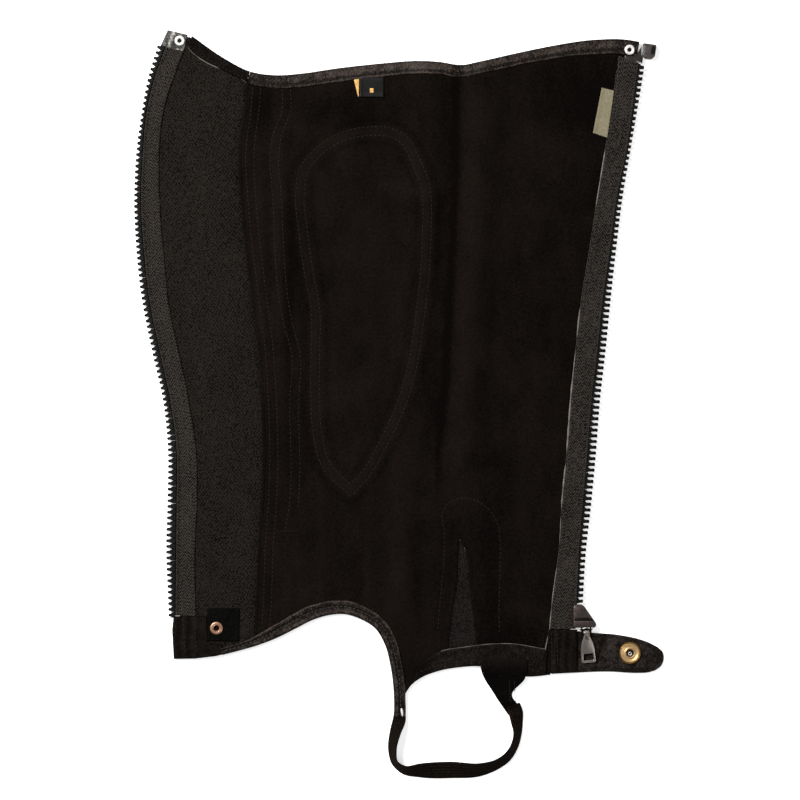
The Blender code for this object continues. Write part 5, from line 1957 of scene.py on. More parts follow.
def rounded(corners: Sequence[Pair], radius: float, steps: int = 6) -> Array:
    """A closed outline with its corners rounded.

    At each corner a curve of the second degree runs between the points that lie the
    radius before and after it: (1-t)^2 A + 2 t (1-t) C + t^2 B.

    Args:
        corners: the outline's corners in order.
        radius: distance from a corner to where its curve starts.
        steps: points on each curve.

    Returns:
        The outline's points.
    """
    c = np.asarray(corners, float)
    before, after = np.roll(c, 1, axis=0) - c, np.roll(c, -1, axis=0) - c
    size_b, size_a = np.linalg.norm(before, axis=1), np.linalg.norm(after, axis=1)
    start = c + before * (np.minimum(radius, 0.45 * size_b) / size_b)[:, None]
    stop = c + after * (np.minimum(radius, 0.45 * size_a) / size_a)[:, None]
    t = np.linspace(0, 1, steps)[None, :, None]
    curved = (1 - t) ** 2 * start[:, None] + 2 * t * (1 - t) * c[:, None] + t**2 * stop[:, None]
    return curved.reshape(-1, 2)


def shrunk(outline: Array, by: float) -> Array:
    """The closed outline moved inward by a distance, along the mean of its edges' normals.

    Args:
        outline: its points in order.
        by: the distance.

    Returns:
        The moved points.
    """
    ahead = np.roll(outline, -1, axis=0) - outline
    behind = outline - np.roll(outline, 1, axis=0)
    run = ahead / np.linalg.norm(ahead, axis=1)[:, None] + behind / np.linalg.norm(behind, axis=1)[:, None]
    run /= np.maximum(np.linalg.norm(run, axis=1), 1e-9)[:, None]
    (x, y), (next_x, next_y) = outline.T, np.roll(outline, -1, axis=0).T
    turn = np.sign(np.sum(x * next_y - next_x * y))
    return outline + by * turn * np.column_stack([-run[:, 1], run[:, 0]])


Place = Callable[[Array], Array]


def slab(
    skin: Skin, outline: Array, low: float, high: float, edge: float, place: Place | None = None, slot: int = 0,
) -> None:
    """Adds a plate with rounded edges.

    Rings of the outline, drawn in along a quarter circle at both faces: at the angle
    a the ring is drawn in by edge (1 - cos a) and stands edge (1 - sin a) from the face.

    Args:
        skin: what it is added to.
        outline: the plate's outline.
        low: height of its lower face.
        high: height of its upper face.
        edge: radius of its edges.
        place: turns the plate's own points into the drawing's.
        slot: material slot.
    """
    angles = np.radians([90, 60, 30, 0])
    insets = edge * (1 - np.cos(angles))
    drops = edge * (1 - np.sin(angles))
    levels = [(low + d, i) for d, i in zip(drops, insets, strict=True)]
    levels += [(high - d, i) for d, i in zip(drops[::-1], insets[::-1], strict=True)]
    rings = np.array([np.column_stack([shrunk(outline, i), np.full(len(outline), z)]) for z, i in levels])
    skin.sweep(rings if place is None else place(rings), slot=slot)


def turned(skin: Skin, spot: Pair, profile: Sequence[Pair], segments: int = 72, slot: int = 0) -> None:
    """Adds a solid of revolution: a closed profile of radius and height, turned upright.

    Args:
        skin: what it is added to.
        spot: its axis on the plan.
        profile: the closed profile.
        segments: steps round the axis.
        slot: material slot.
    """
    p = np.asarray(profile, float)
    angles = np.linspace(0, 2 * math.pi, segments, endpoint=False)[:, None]
    rings = np.dstack([
        spot[0] + p[None, :, 0] * np.cos(angles),
        spot[1] + p[None, :, 0] * np.sin(angles),
        np.broadcast_to(p[None, :, 1], (segments, len(p))),
    ])
    faces = grid_faces(segments + 1, len(p), closed=True) % (segments * len(p))
    skin.add(rings, [faces], slots=(slot,))


def wire(
    skin: Skin, line: Array, radius: float | Array, sides: int = 8, flat: float = 1.0, slot: int = 0,
) -> None:
    """Adds a round wire along a line in space.

    A circle in the plane of two directions square to the line's run is swept along it.

    Args:
        skin: what it is added to.
        line: points of the middle.
        radius: of the wire, one for all or one for each point.
        sides: of the circle.
        flat: height of the circle as a share of its width.
        slot: material slot.
    """
    run = np.gradient(line, axis=0)
    run /= np.maximum(np.linalg.norm(run, axis=1), 1e-9)[:, None]
    side = np.cross(run, np.array([0.0, 0.0, 1.0]))
    side /= np.maximum(np.linalg.norm(side, axis=1), 1e-6)[:, None]
    up = np.cross(side, run)
    angles = np.linspace(0, 2 * math.pi, sides, endpoint=False)
    size = np.broadcast_to(radius, (len(line),))[:, None, None]
    rings = line[:, None] + size * (
        side[:, None] * np.cos(angles)[None, :, None] + flat * up[:, None] * np.sin(angles)[None, :, None]
    )
    skin.sweep(rings, slot=slot)


@dataclass(frozen=True)
class Fasteners:
    """The rivets, the snap's post and socket, and the zip's end box."""

    finishes: Wardrobe
    rivet: Pair = (1.4, 1.9)  # radii of the hole and the shank
    rivet_flange: float = 3.55
    post: Pair = (2.0, 2.9)
    post_flange: float = 4.5
    socket_flange: float = 7.5
    socket_hole: float = 2.7

    def eyelet(self, skin: Skin, spot: Pair, sizes: Pair, flange: float, top: float, below: float) -> None:
        """Adds a set eyelet: a domed flange above the cloth, a shank, and a flange below.

        Args:
            skin: what it is added to.
            spot: its axis on the plan.
            sizes: radii of the hole and the shank.
            flange: radius of the flanges.
            top: height of the dome.
            below: height of the lower flange's underside.
        """
        hole, shank = sizes
        profile = [
            (hole, below), (flange, below), (flange, below + 0.55), (shank, below + 0.75), (shank, top - 0.85),
            (flange - 0.15, top - 0.85), (flange, top - 0.45), (flange - 0.75, top - 0.02), (hole + 0.9, top),
            (hole + 0.15, top - 0.35), (hole, top - 1.0),
        ]
        turned(skin, spot, rounded(profile, 0.28, 4))
        # A dark plug in the hole: painted shade inside the eyelet.
        shade_plug, high = hole + 0.2, top - 1.2
        turned(skin, spot, [(0.01, below), (shade_plug, below), (shade_plug, high), (0.01, high)], 40, 1)

    def make_rivets(self) -> None:
        """The silver rivets at the two top corners."""
        finishes = [self.finishes.silver, self.finishes.moulded]
        for side, spot, stack in (
            ("left", RIVET_LEFT, LEFT_LEVEL + FILM), ("right", RIVET_RIGHT, RIGHT_LEVEL + BINDING),
        ):
            top = float(PATTERN.lie(*spot)) + stack + GAP + 0.8
            skin = Skin()
            self.eyelet(skin, spot, self.rivet, self.rivet_flange, top, 0.1)
            skin.build(f"rivet_{side}_eyelet", finishes, [f"rivet_{side}"], slot="silver", sharp=60, outward=True)

    def make_post(self) -> None:
        """The brass post: an eyelet with a rolled collar in its middle."""
        top = float(PATTERN.lie(*POST)) + LEFT_LEVEL + TAPE + GAP + 1.0
        skin = Skin()
        self.eyelet(skin, POST, self.post, self.post_flange, top, 0.05)
        collar = [(2.05, top - 0.6), (2.75, top - 0.2), (2.6, top + 0.35), (2.2, top + 0.45), (1.9, top + 0.1)]
        turned(skin, POST, rounded(collar, 0.3, 4))
        finishes = [self.finishes.brass, self.finishes.wing_suede]
        skin.build("post_eyelet_ring", finishes, ["post_eyelet"], slot="brass", sharp=60, outward=True)

    def make_socket(self) -> None:
        """The gold socket with a dished ring, a collar round its hole, and a wire spring."""
        rest = float(PATTERN.lie(*SOCKET)) + STRAP + GAP
        wide, hole = self.socket_flange, self.socket_hole
        profile = [
            (0.01, 0.05), (wide - 0.9, 0.05), (wide, 0.5), (wide, 1.1), (4.2, 1.2), (4.2, rest), (wide, rest),
            (wide + 0.02, rest + 0.7), (wide - 0.7, rest + 1.45), (wide - 1.6, rest + 1.5), (4.6, rest + 0.95),
            (3.9, rest + 1.05), (3.4, rest + 1.6), (hole + 0.15, rest + 1.55), (hole, rest + 1.1), (hole, 1.6),
            (0.01, 1.6),
        ]
        skin = Skin()
        turned(skin, SOCKET, rounded(profile, 0.22, 3), 96)
        # A dark gold ring on the rolled rim: painted shade.
        rim = [
            (wide - 1.1, rest + 0.2), (wide + 0.08, rest + 0.1), (wide + 0.1, rest + 0.8),
            (wide - 0.55, rest + 1.52), (wide - 1.1, rest + 1.5),
        ]
        turned(skin, SOCKET, rounded(rim, 0.2, 3), 96, 2)
        well, high = hole - 0.02, rest + 0.1
        turned(skin, SOCKET, [(0.01, 1.5), (well, 1.5), (well, high), (0.01, high)], 48, 1)
        eye = [(0.75, rest + 0.1), (1.3, rest + 0.1), (1.3, rest + 0.55), (0.75, rest + 0.55)]
        turned(skin, (SOCKET[0] + 0.1, SOCKET[1] - 0.5), rounded(eye, 0.15, 3), 40, 3)
        angles = np.linspace(math.radians(-150), math.radians(110), 60)
        ring = np.column_stack([
            SOCKET[0] + 2.15 * np.cos(angles), SOCKET[1] + 2.15 * np.sin(angles), np.full(60, rest + 0.55),
        ])
        wire(skin, ring, 0.26, slot=1)
        leaf = np.array([(-1.9, 0.5, 0.3), (-0.6, 0.2, 0.35), (0.5, 0.35, 0.35), (1.9, 0.1, 0.3)])
        wire(skin, curve(leaf + (*SOCKET, rest), count=24), 0.24, slot=1)
        finishes = [self.finishes.gold, self.finishes.steel, self.finishes.rim, self.finishes.silver]
        skin.build("snap_socket_ring", finishes, ["snap_socket"], slot="gold", sharp=60, outward=True)

    def make_box(self) -> None:
        """The zip's glossy end box with its pin and a slot on its top."""
        box = [(170.0, 243.6), (172.0, 241.2), (176.4, 240.8), (178.9, 242.8), (180.1, 251.0), (170.6, 252.3)]
        skin = Skin()
        slab(skin, rounded(box, 1.1, 7), 0.3, 6.4, 0.9)
        raised = [(170.6, 244.6), (177.2, 243.8), (178.4, 249.9), (171.6, 250.8)]
        slab(skin, rounded(raised, 1.3, 7), 5.6, 6.9, 0.5)
        # A dark inset on the top: painted shade in the slot.
        slot = [(175.9, 244.7), (178.3, 244.4), (179.0, 249.6), (176.6, 250.0)]
        slab(skin, rounded(slot, 0.6, 5), 6.5, 7.0, 0.1, slot=1)
        pin = [(168.9, 238.1), (170.1, 238.1), (170.9, 244.4), (169.9, 244.6)]
        slab(skin, rounded(pin, 0.4, 4), 2.6, 4.2, 0.35)
        finishes = [self.finishes.black, self.finishes.moulded]
        skin.build(
            "retainer_box_moulded", finishes, ["retainer_box"], slot="black_plastic", sharp=60, outward=True,
        )

    def make(self) -> None:
        """Builds the rivets, the snap's two halves and the box."""
        self.make_rivets()
        self.make_post()
        self.make_socket()
        self.make_box()


@dataclass(frozen=True)
class Slider:
    """The zip's slider: two plates on a post, a cap, a lip and the loop for the tab."""

    finishes: Wardrobe
    outline: tuple[Pair, ...] = (
        (121.8, -155.4), (121.8, -142.0), (123.0, -140.4), (127.6, -140.2), (129.6, -141.4),
        (137.9, -153.6), (137.2, -156.0), (122.4, -156.2),
    )
    plate: float = 1.3
    high: float = 6.8
    arm: float = 3.1  # from the loop's middle to its arms

    def make(self) -> None:
        """Builds the slider out of plates with rounded edges."""
        left_rim = [(121.8, -155.4), (122.9, -155.4), (122.9, -141.2), (121.8, -142.0)]
        right_rim = [(130.4, -142.8), (129.3, -143.4), (136.2, -153.9), (137.7, -153.4)]
        post = [(129.4, -149.8), (128.9, -153.8), (132.4, -153.8), (131.2, -149.8)]
        cap = [(122.7, -149.9), (122.9, -141.6), (127.9, -141.3), (134.3, -149.9)]
        lip = [(122.3, -155.7), (122.4, -151.4), (135.9, -151.4), (137.3, -155.5)]
        skin = Skin()
        body = rounded(self.outline, 1.0)
        slab(skin, body, 0.0, self.plate, 0.4)
        slab(skin, body, self.high, self.high + self.plate, 0.5)
        slab(skin, rounded(post, 0.5), self.plate - 0.4, self.high + 0.4, 0.1)
        slab(skin, rounded(cap, 1.2), self.high + 0.5, 9.3, 0.75)
        slab(skin, rounded(lip, 0.8), self.high + 0.5, 8.25, 0.45)
        for rim in (left_rim, right_rim):
            slab(skin, rounded(rim, 0.3, 4), self.plate - 0.4, 3.45, 0.2)
            slab(skin, rounded(rim, 0.3, 4), 5.2, self.high + 0.4, 0.2)
        # The loop's arms and bar take the dark moulded finish: painted shade, as they lie in shadow.
        pivot = np.array(PullTab.PIVOT)
        u, v = np.linspace(-5.6, 0.4, 30), np.linspace(-self.arm, self.arm, 24)
        rise = 0.34 * np.sin(np.pi * np.clip((u + 5.6) / 6.0, 0, 1)) ** 1.5
        for side in (-self.arm, self.arm):
            arm = pivot[:2] + u[:, None] * PullTab.along() + side * PullTab.across()
            wire(skin, np.column_stack([arm, pivot[2] + rise]), 0.55, 10, slot=1)
        bar = pivot[:2] + v[:, None] * PullTab.across()
        wire(skin, np.column_stack([bar, np.full(len(v), pivot[2])]), 0.68, 12, slot=1)
        # A dark plate below the lip, between the loop's arms: painted shade.
        tongue = [
            (124.6, -155.2), (136.2, -155.2), (135.2, -157.6), (132.4, -161.0), (129.3, -161.0), (126.2, -157.6),
        ]
        slab(skin, rounded(tongue, 0.6, 4), 3.7, 5.2, 0.3, slot=1)
        # A dark strip in the gap between the lip and the cap: painted shade.
        groove = [(122.6, -151.35), (136.2, -151.35), (135.4, -149.95), (122.6, -149.95)]
        slab(skin, np.array(groove), self.high + 1.0, self.high + 1.42, 0.05, slot=1)
        fold = curve([
            (122.5, -154.9), (125.2, -156.4), (129.0, -156.6), (131.2, -155.9), (134.0, -156.5), (137.1, -155.0),
        ], 0.5)
        wire(skin, np.column_stack([fold, np.full(len(fold), 7.2)]), 0.6, 10, 0.75, slot=2)
        finishes = [self.finishes.gunmetal, self.finishes.moulded, self.finishes.silver]
        skin.build("slider_body", finishes, ["slider"], slot="gunmetal", sharp=60, outward=True)


@dataclass(frozen=True)
class PullTab:
    """The slider's pull tab: an eye, a neck, and a plate with a window. It is bare.

    Its own places are u along it from the pivot, v across it and w out of its face.
    """

    PIVOT = (130.9, -159.6, 7.4)
    LEAN = math.radians(4.6)
    DIP = math.radians(10.2)

    finishes: Wardrobe
    eye_outer: float = 1.75
    eye_hole: float = 1.1
    half_width: float = 2.0
    thick: float = 1.6
    plate: tuple[Pair, ...] = (
        (1.7, -1.5), (4.2, -2.75), (7.5, -4.0), (11.0, -4.8), (20.6, -5.2), (21.5, -4.4),
        (21.6, 4.3), (20.7, 5.2), (11.0, 4.8), (7.5, 4.0), (4.2, 2.75), (1.7, 1.5),
    )
    window: tuple[Pair, ...] = ((15.0, -3.2), (19.8, -3.5), (19.8, 3.7), (15.0, 3.3))

    @classmethod
    def along(cls) -> Array:
        """The tab's direction on the plan."""
        return np.array([math.sin(cls.LEAN), -math.cos(cls.LEAN)])

    @classmethod
    def across(cls) -> Array:
        """The direction of its width on the plan."""
        return np.array([math.cos(cls.LEAN), math.sin(cls.LEAN)])

    @classmethod
    def place(cls, own: Array) -> Array:
        """Turns the tab's own places into the drawing's.

        Args:
            own: u, v and w of the points.

        Returns:
            Their x, y and z.
        """
        up = np.array([0.0, 0.0, 1.0])
        along, across = np.array([*cls.along(), 0.0]), np.array([*cls.across(), 0.0])
        run = along * math.cos(cls.DIP) - up * math.sin(cls.DIP)
        face = along * math.sin(cls.DIP) + up * math.cos(cls.DIP)
        return np.array(cls.PIVOT) + own[..., :1] * run + own[..., 1:2] * across + own[..., 2:] * face

    @staticmethod
    def spokes(outline: Array, middle: Array, angles: Array) -> Array:
        """Where rays from the middle leave a convex outline.

        The distance along a ray is the least, over the edges that it faces, of the
        edge's distance from the middle over the cosine between the ray and its normal.

        Args:
            outline: its points in order.
            middle: where the rays start.
            angles: of the rays.

        Returns:
            One point for each ray.
        """
        run = np.roll(outline, -1, axis=0) - outline
        keep = np.linalg.norm(run, axis=1) > 1e-9
        run, start = run[keep], outline[keep]
        normal = np.column_stack([run[:, 1], -run[:, 0]])
        normal *= np.sign(np.sum(normal * (start - middle), axis=1))[:, None]
        away = np.sum(normal * (start - middle), axis=1)
        ray = np.column_stack([np.cos(angles), np.sin(angles)])
        facing = ray @ normal.T
        reach = np.where(facing > 1e-9, away[None] / np.maximum(facing, 1e-9), np.inf).min(1)
        return middle + ray * reach[:, None]

    def make(self) -> None:
        """Builds the tab; it rides on its own body."""
        skin = Skin()
        half = self.thick / 2
        angles = np.linspace(0, 2 * math.pi, 40, endpoint=False)[:, None]
        hole, outer, wide = self.eye_hole, self.eye_outer, self.half_width
        profile = rounded([(hole, -wide), (outer, -wide), (outer, wide), (hole, wide)], 0.25, 4)
        eye = np.dstack([
            profile[None, :, 0] * np.cos(angles), np.broadcast_to(profile[None, :, 1], (40, len(profile))),
            profile[None, :, 0] * np.sin(angles),
        ])
        faces = grid_faces(41, len(profile), closed=True) % (40 * len(profile))
        skin.add(self.place(eye), [faces])
        neck = [(1.35, -1.6), (5.2, -1.6), (5.2, 1.6), (1.35, 1.6)]
        slab(skin, rounded(neck, 0.2, 3), -half, half, 0.25, self.place)
        middle = np.array([17.3, 0.05])
        outer, window = rounded(self.plate, 0.7, 5), rounded(self.window, 0.8, 5)
        turn = [np.arctan2(*(points - middle).T[::-1]) for points in (outer, window)]
        turn = np.unique(np.round(np.concatenate([*turn, np.linspace(-3.1, 3.1, 120)]), 5))
        edge, rim = 0.42, 0.30
        section = [  # outline, distance into the metal, height
            (outer, edge, half), (outer, 0.12, half - 0.12), (outer, 0.0, half - edge), (outer, 0.0, edge - half),
            (outer, 0.12, 0.12 - half), (outer, edge, -half), (window, -rim, -half), (window, 0.0, rim - half),
            (window, 0.0, half - rim), (window, -0.09, half - 0.09), (window, -rim, half),
        ]
        columns = []
        for outline, inset, w in section:
            ring = self.spokes(shrunk(outline, inset), middle, turn)
            columns.append(np.column_stack([ring, np.full(len(turn), w)]))
        rings = np.stack(columns, 1)
        faces = grid_faces(len(turn) + 1, rings.shape[1], closed=True) % (len(turn) * rings.shape[1])
        skin.add(self.place(rings), [faces])
        skin.build(
            "pull_tab_plate", [self.finishes.pull], ["pull_tab"], body="pull", slot="pull_metal", sharp=55,
            outward=True,
        )


class Threads:
    """The thread of every stitch row, and the fine cords along edges."""

    LENGTH = 2.3
    RADIUS = 0.27
    CAPSULE = np.array([  # share of the half length, and of the radius: the ring's own and its lift
        (-1.0, 0.35, -1.3), (-0.8, 0.8, -0.35), (-0.35, 1.0, 0.35), (0.35, 1.0, 0.35), (0.8, 0.8, -0.35),
        (1.0, 0.35, -1.3),
    ])
    SKIVED = (  # where the light edge shows: middle, reach and share
        (158.0, 15.0, 0.6), (57.0, 5.0, 0.75), (23.0, 9.0, 0.5), (-9.0, 19.0, 1.0), (-57.0, 10.0, 0.7),
        (-88.0, 4.0, 0.35), (-128.0, 9.0, 0.5), (-160.0, 12.0, 0.55),
    )

    def __init__(self, panels: Panels, bindings: Bindings) -> None:
        """Keeps the panels and bindings that the rows run on."""
        self.panels, self.bindings, self.finishes = panels, bindings, panels.finishes

    def on_leather(self, x: Array, y: Array) -> Array:
        """Height of the leather panel's upper side."""
        panels = self.panels
        return PATTERN.lie(x, y) + SUEDE + panels.relief(x, y) - panels.rows_depth(x, y)

    @staticmethod
    def on_wing(x: Array, y: Array) -> Array:
        """Height of the threads on the wing."""
        return PATTERN.over_hem(x, y) + WING + 0.15

    def sew(
        self, skin: Skin, row: Array, height: Callable[[Array, Array], Array], seed: int,
        pitch: float = Stitching.PITCH, size: float = 1.0, below: bool = False,
    ) -> None:
        """Adds a row of stitches.

        A stitch is a capsule of rings along the row whose radius and height both
        follow a half sine, so that its ends go down into the cloth.

        Args:
            skin: what they are added to.
            row: the row's line.
            height: of the cloth there.
            seed: of the small differences between stitches.
            pitch: from one stitch to the next.
            size: of the thread.
            below: whether the row is on the underside.
        """
        along = length_along(row)
        count = int(along[-1] // pitch)
        if count < 1:
            return
        rng = np.random.default_rng(seed)
        at = (np.arange(count) + 0.5) * pitch + rng.uniform(-0.12, 0.12, count)
        x, y = np.interp(at, along, row[:, 0]), np.interp(at, along, row[:, 1])
        run = np.column_stack([
            np.interp(at + 0.5, along, axis) - np.interp(at - 0.5, along, axis) for axis in row.T
        ])
        run /= np.linalg.norm(run, axis=1)[:, None]
        tilt = np.arctan2(run[:, 1], run[:, 0]) + rng.uniform(-0.07, 0.07, count)
        run = np.column_stack([np.cos(tilt), np.sin(tilt)])
        side = np.column_stack([-run[:, 1], run[:, 0]])
        share = self.CAPSULE[:, 0]
        fat, lift = self.RADIUS * size * self.CAPSULE[:, 1:].T
        around = np.linspace(0, 2 * math.pi, 6, endpoint=False)
        length = 0.5 * self.LENGTH * pitch / Stitching.PITCH * rng.uniform(0.92, 1.05, count)
        sign = -1.0 if below else 1.0
        ground = height(x, y) + (0.10 if below else 0.0)
        points = np.zeros((count, 6, 6, 3))
        points[..., 0] = x[:, None, None] + (length[:, None] * share)[:, :, None] * run[:, :1, None]
        points[..., 1] = y[:, None, None] + (length[:, None] * share)[:, :, None] * run[:, 1:, None]
        points[..., :2] += (fat[:, None] * np.cos(around))[None, ..., None] * side[:, None, None]
        points[..., 2] = ground[:, None, None] + sign * (lift[:, None] + fat[:, None] * np.sin(around))
        for stitch in points:
            skin.sweep(stitch)

    def make_leather_rows(self) -> None:
        """The rows in the leather panel, above and on the underside."""
        for name, below, thread in (
            ("leather_stitches", False, self.finishes.thread),
            ("underside_stitches", True, self.finishes.light_thread),
        ):
            skin = Skin()
            height = PATTERN.lie if below else self.on_leather
            for seed, row in enumerate(Stitching.channels()):
                self.sew(skin, row, height, seed, below=below)
            bar = straight([(-83.3, -88.9), (-72.1, -88.9)], 12)
            self.sew(skin, bar, height, 40, pitch=1.1, size=0.9, below=below)
            skin.build(name, [thread], slot="suede", outward=True)

    def make_binding_rows(self) -> None:
        """The rows through the bindings; round the arch the thread is light."""
        bindings, skins = self.bindings, {"dark": Skin(), "light": Skin()}
        for strip, which, size in (
            (bindings.top, "dark", 1.0), (bindings.knit, "dark", 0.9), (bindings.arch, "light", 1.0),
        ):
            line = strip.line
            row = line + (strip.row * strip.width(line))[:, None] * steadied(inward(line), 9)
            lift = strip.panel + LAYER + BINDING - 0.55 * strip.pucker
            self.sew(skins[which], row[2:-2], PATTERN.above(lift), len(strip.name), size=size)
        for which, name, thread in (
            ("dark", "top_binding_stitches", self.finishes.thread),
            ("light", "arch_binding_stitches", self.finishes.light_thread),
        ):
            skins[which].build(name, [thread], slot="bright_leather", outward=True)

    def make_trim_rows(self) -> None:
        """The rows on the tapes, the facing, the strap and the tabs."""
        skin = Skin()
        for half, rests in ((LEFT_HALF, LEFT_LEVEL), (RIGHT_HALF, RIGHT_LEVEL)):
            y = np.linspace(half.low + 3, half.high - 4, 300)
            row = PATTERN.strip(half.inner, half.out * 1.9, y)
            self.sew(skin, row, PATTERN.above(rests + TAPE - 0.02), 11, size=0.85)
        hem = curve(HEM_EDGE, 1.0)
        row = hem + 4.0 * inward(hem)
        row = row[(row[:, 0] > 14) & (row[:, 0] < 57)]
        self.sew(skin, row, PATTERN.above(RIGHT_LEVEL + FACING + 0.05), 12)
        edge = curve([
            (129.0, -185.4), (147.4, -185.1), (167.5, -185.9), (177.4, -184.8), (181.7, -181.6), (183.0, -176.9),
            (182.1, -174.0), (177.0, -170.2), (166.9, -166.5), (153.8, -163.9), (139.0, -162.6),
        ], 1.0)
        self.sew(skin, edge, PATTERN.above(STRAP - 0.16), 13)
        skin.build("trim_stitches", [self.finishes.thread], slot="woven_tape", outward=True)
        skin = Skin()
        left, right = PATTERN.above(LEFT_LEVEL + TAB + 0.05), PATTERN.above(STRAP + LAYER + TAB + 0.08)
        for start, stop, height, seed, pitch in (
            ((-151.0, -150.0), (-149.3, -176.6), left, 14, Stitching.PITCH),
            ((-143.2, -150.0), (-141.5, -176.2), left, 14, Stitching.PITCH),
            ((106.6, -159.5), (107.0, -186.0), right, 15, Stitching.PITCH),
            ((110.6, -159.5), (111.0, -186.0), right, 15, Stitching.PITCH),
            ((77.2, -193.5), (78.2, -209.0), self.on_wing, 16, 1.5),
            ((80.6, -193.5), (81.6, -209.0), self.on_wing, 16, 1.5),
        ):
            self.sew(skin, straight([start, stop], 20), height, seed, pitch)
        skin.build("tab_stitches", [self.finishes.thread], slot="worn_leather", outward=True)

    def make_edges(self) -> None:
        """Light cut edges: the piping below the matt binding, and the skived strips."""
        skin = Skin()
        piping = curve([
            (-147.6, 249.2), (-142.8, 244.3), (-137.9, 240.8), (-130.9, 236.9), (-121.8, 233.5), (-113.0, 229.2),
            (-106.0, 224.2),
        ], 1.0)
        thin = 0.24 * fade((piping[:, 0] + 116) / 12) * (1 - 0.75 * fade((piping[:, 0] + 142) / 4))
        wire(skin, PATTERN.raised(piping, STRETCH + 0.12), 0.05 + thin)
        y = np.linspace(-171.5, 233.0, 700)
        line = PATTERN.strip(Column.RIGHT_INNER, -0.55, y)
        line[:, 0] -= 1.6 * fade((y + 172) / 16)
        rough = 0.5 + 0.5 * waves(y, 0 * y, (7.0, 11.0, 19.0), 21)
        shows = 0.10 + sum(
            share * fade((np.abs(y - middle) - reach) / 7) for middle, reach, share in self.SKIVED
        )
        wide = (0.42 + 0.36 * rough) * np.clip(shows, 0, 1)
        wire(skin, PATTERN.raised(line, RIGHT_LEVEL + 0.35), wide, flat=0.8)
        top = curve(FACING_TOP, 0.8)
        top = top[(top[:, 0] > 29) & (top[:, 0] < 103)]
        wide = 0.13 + 0.05 * np.sin(top[:, 0] / 2.3)
        wire(skin, PATTERN.raised(top, RIGHT_LEVEL + FACING - 0.08), wide, flat=0.7)
        skin.build("cut_edges", [self.finishes.edge], slot="bright_leather", outward=True)
        # A silver cord on the arch binding's folded end: a painted highlight there.
        end = curve([(1.7, -212.7), (2.1, -215.4), (2.4, -218.2)], 0.4)
        wide = 0.75 * np.sin(np.linspace(0.5, 2.9, len(end))) + 0.1
        skin = Skin()
        wire(skin, PATTERN.raised(end, SUEDE + LAYER + BINDING + 0.05), wide, flat=0.5)
        skin.build("arch_binding_end", [self.finishes.silver], slot="bright_leather", outward=True)

    def make_knot(self) -> None:
        """The thread's knot on the right tab."""
        t = np.linspace(0, 4 * math.pi, 90)
        tail = np.linspace(0, 1, 90) ** 3
        base = float(PATTERN.lie(108.5, -179.9)) + STRAP + LAYER + TAB + 0.35
        knot = np.column_stack([
            108.3 + 1.0 * np.cos(t) + 0.35 * np.cos(2.5 * t) - 1.6 * tail,
            -180.2 + 0.9 * np.sin(t) + 0.3 * np.sin(3.5 * t) - 3.2 * tail,
            base + 0.25 * np.sin(1.5 * t) - 0.3 * tail,
        ])
        skin = Skin()
        wire(skin, knot, 0.24, 7)
        skin.build("thread_knot", [self.finishes.thread], slot="worn_leather", outward=True)

    def make_mark(self) -> None:
        """The bare gold block woven into the satin label."""
        skin = Skin()
        level = float(PATTERN.lie(-19.0, 219.5)) + RIGHT_LEVEL + LABEL
        block = rounded([(-20.4, 217.7), (-17.8, 217.7), (-17.8, 220.7), (-20.4, 220.7)], 0.3, 3)
        slab(skin, block, level - 0.1, level + 0.62, 0.1)
        skin.build("size_label_mark", [self.finishes.gold_thread], slot="gold_thread", outward=True)

    def make(self) -> None:
        """Builds every thread and fine cord."""
        self.make_leather_rows()
        self.make_binding_rows()
        self.make_trim_rows()
        self.make_edges()
        self.make_knot()
        self.make_mark()


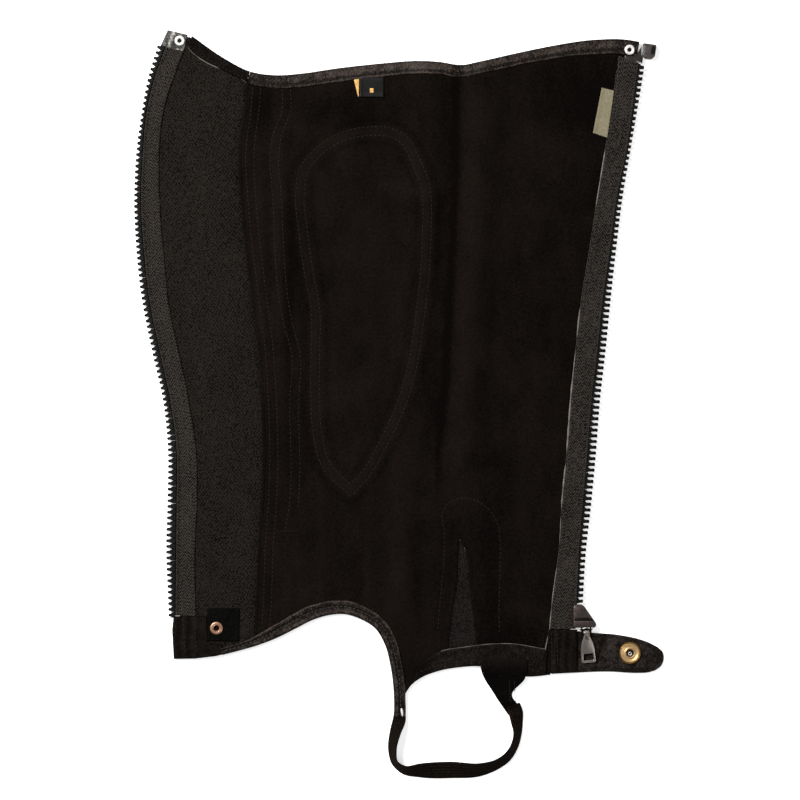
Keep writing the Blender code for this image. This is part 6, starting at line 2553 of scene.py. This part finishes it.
@dataclass(frozen=True)
class Studio:
    """A pale floor, soft light and a camera that looks straight down."""

    view: float = 560.0  # millimetres across the picture
    centre: Pair = (0.7, 2.8)
    away: float = 3.0
    glow: float = 0.62  # of the floor, so that the shadow on it is faint
    sky: float = 0.20
    hole_shade: Pair = (0.0030, 0.0036)  # radii in metres of the painted shade on the floor below the eyelets

    def make_floor(self) -> None:
        """A wide plain plane below the garment."""
        mesh = bpy.data.meshes.new("floor")
        mesh.from_pydata([(-4, -4, 0), (4, -4, 0), (4, 4, 0), (-4, 4, 0)], [], [(0, 1, 2, 3)])
        made = bpy.data.objects.new("floor", mesh)
        bpy.context.scene.collection.objects.link(made)
        m = Nodes("floor")
        m.set(Base_Color=(0.86, 0.86, 0.86), Roughness=0.9, Specular_IOR_Level=0.1)
        x, y = m.parts(m.place)[:2]
        glow = self.glow
        for spot in (RIVET_LEFT, RIVET_RIGHT, POST):  # painted shade below the eyelets: no glow there
            middle = (np.array(spot) - MIDDLE[:2]) * MM
            off = [m.maths("SUBTRACT", axis, float(at)) for axis, at in zip((x, y), middle, strict=True)]
            away = m.maths("ADD", *(m.maths("MULTIPLY", d, d) for d in off))
            glow = m.maths("MULTIPLY", m.span(away, self.hole_shade[0] ** 2, self.hole_shade[1] ** 2), glow)
        m.set(Emission_Color=(1.0, 1.0, 1.0), Emission_Strength=glow)
        mesh.materials.append(m.material)
        made.location = (0, 0, -0.0004)

    def make_light(self) -> None:
        """One large soft light at the upper left, a weaker one opposite, and a bright sky."""
        world = bpy.data.worlds.new("studio")
        bpy.context.scene.world = world
        world.use_nodes = True
        sky = world.node_tree.nodes["Background"]
        sky.inputs["Color"].default_value = (1.0, 1.0, 1.0, 1.0)
        sky.inputs["Strength"].default_value = self.sky
        for name, place, size, power in (
            ("key", (-0.95, 0.75, 1.55), 0.8, 68.0),
            ("fill", (1.6, -1.0, 1.5), 1.2, 14.0),
        ):
            lamp = bpy.data.lights.new(name, "AREA")
            lamp.size, lamp.energy = size, power
            made = bpy.data.objects.new(name, lamp)
            made.location = place
            made.rotation_euler = (-Vector(place)).to_track_quat("-Z", "Y").to_euler()
            bpy.context.scene.collection.objects.link(made)

    def make_camera(self) -> None:
        """A long lens straight above the picture's middle."""
        lens = bpy.data.cameras.new("camera")
        lens.sensor_width = 36.0
        lens.lens = 36.0 * self.away / (self.view * MM)
        lens.clip_start, lens.clip_end = 0.1, 20.0
        made = bpy.data.objects.new("camera", lens)
        place = (np.array([*self.centre, 0.0]) - MIDDLE) * MM
        made.location = (place[0], place[1], self.away)
        bpy.context.scene.collection.objects.link(made)
        bpy.context.scene.camera = made

    def make(self) -> None:
        """Floor, light, camera, and colours as they are."""
        self.make_floor()
        self.make_light()
        self.make_camera()
        bpy.context.scene.view_settings.view_transform = "Standard"


def main() -> None:
    logging.basicConfig(level=logging.INFO, format="%(name)s %(message)s")
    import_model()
    finishes = Wardrobe()
    panels, bindings = Panels(finishes), Bindings(finishes)
    panels.make()
    bindings.make()
    for half in (LEFT_HALF, RIGHT_HALF):
        half.make_tape(finishes)
        half.make_teeth(finishes)
    for kind in (Trims, Stirrup, Fasteners, Slider, PullTab):
        kind(finishes).make()
    Threads(panels, bindings).make()
    Studio().make()


if __name__ == "__main__":
    main()
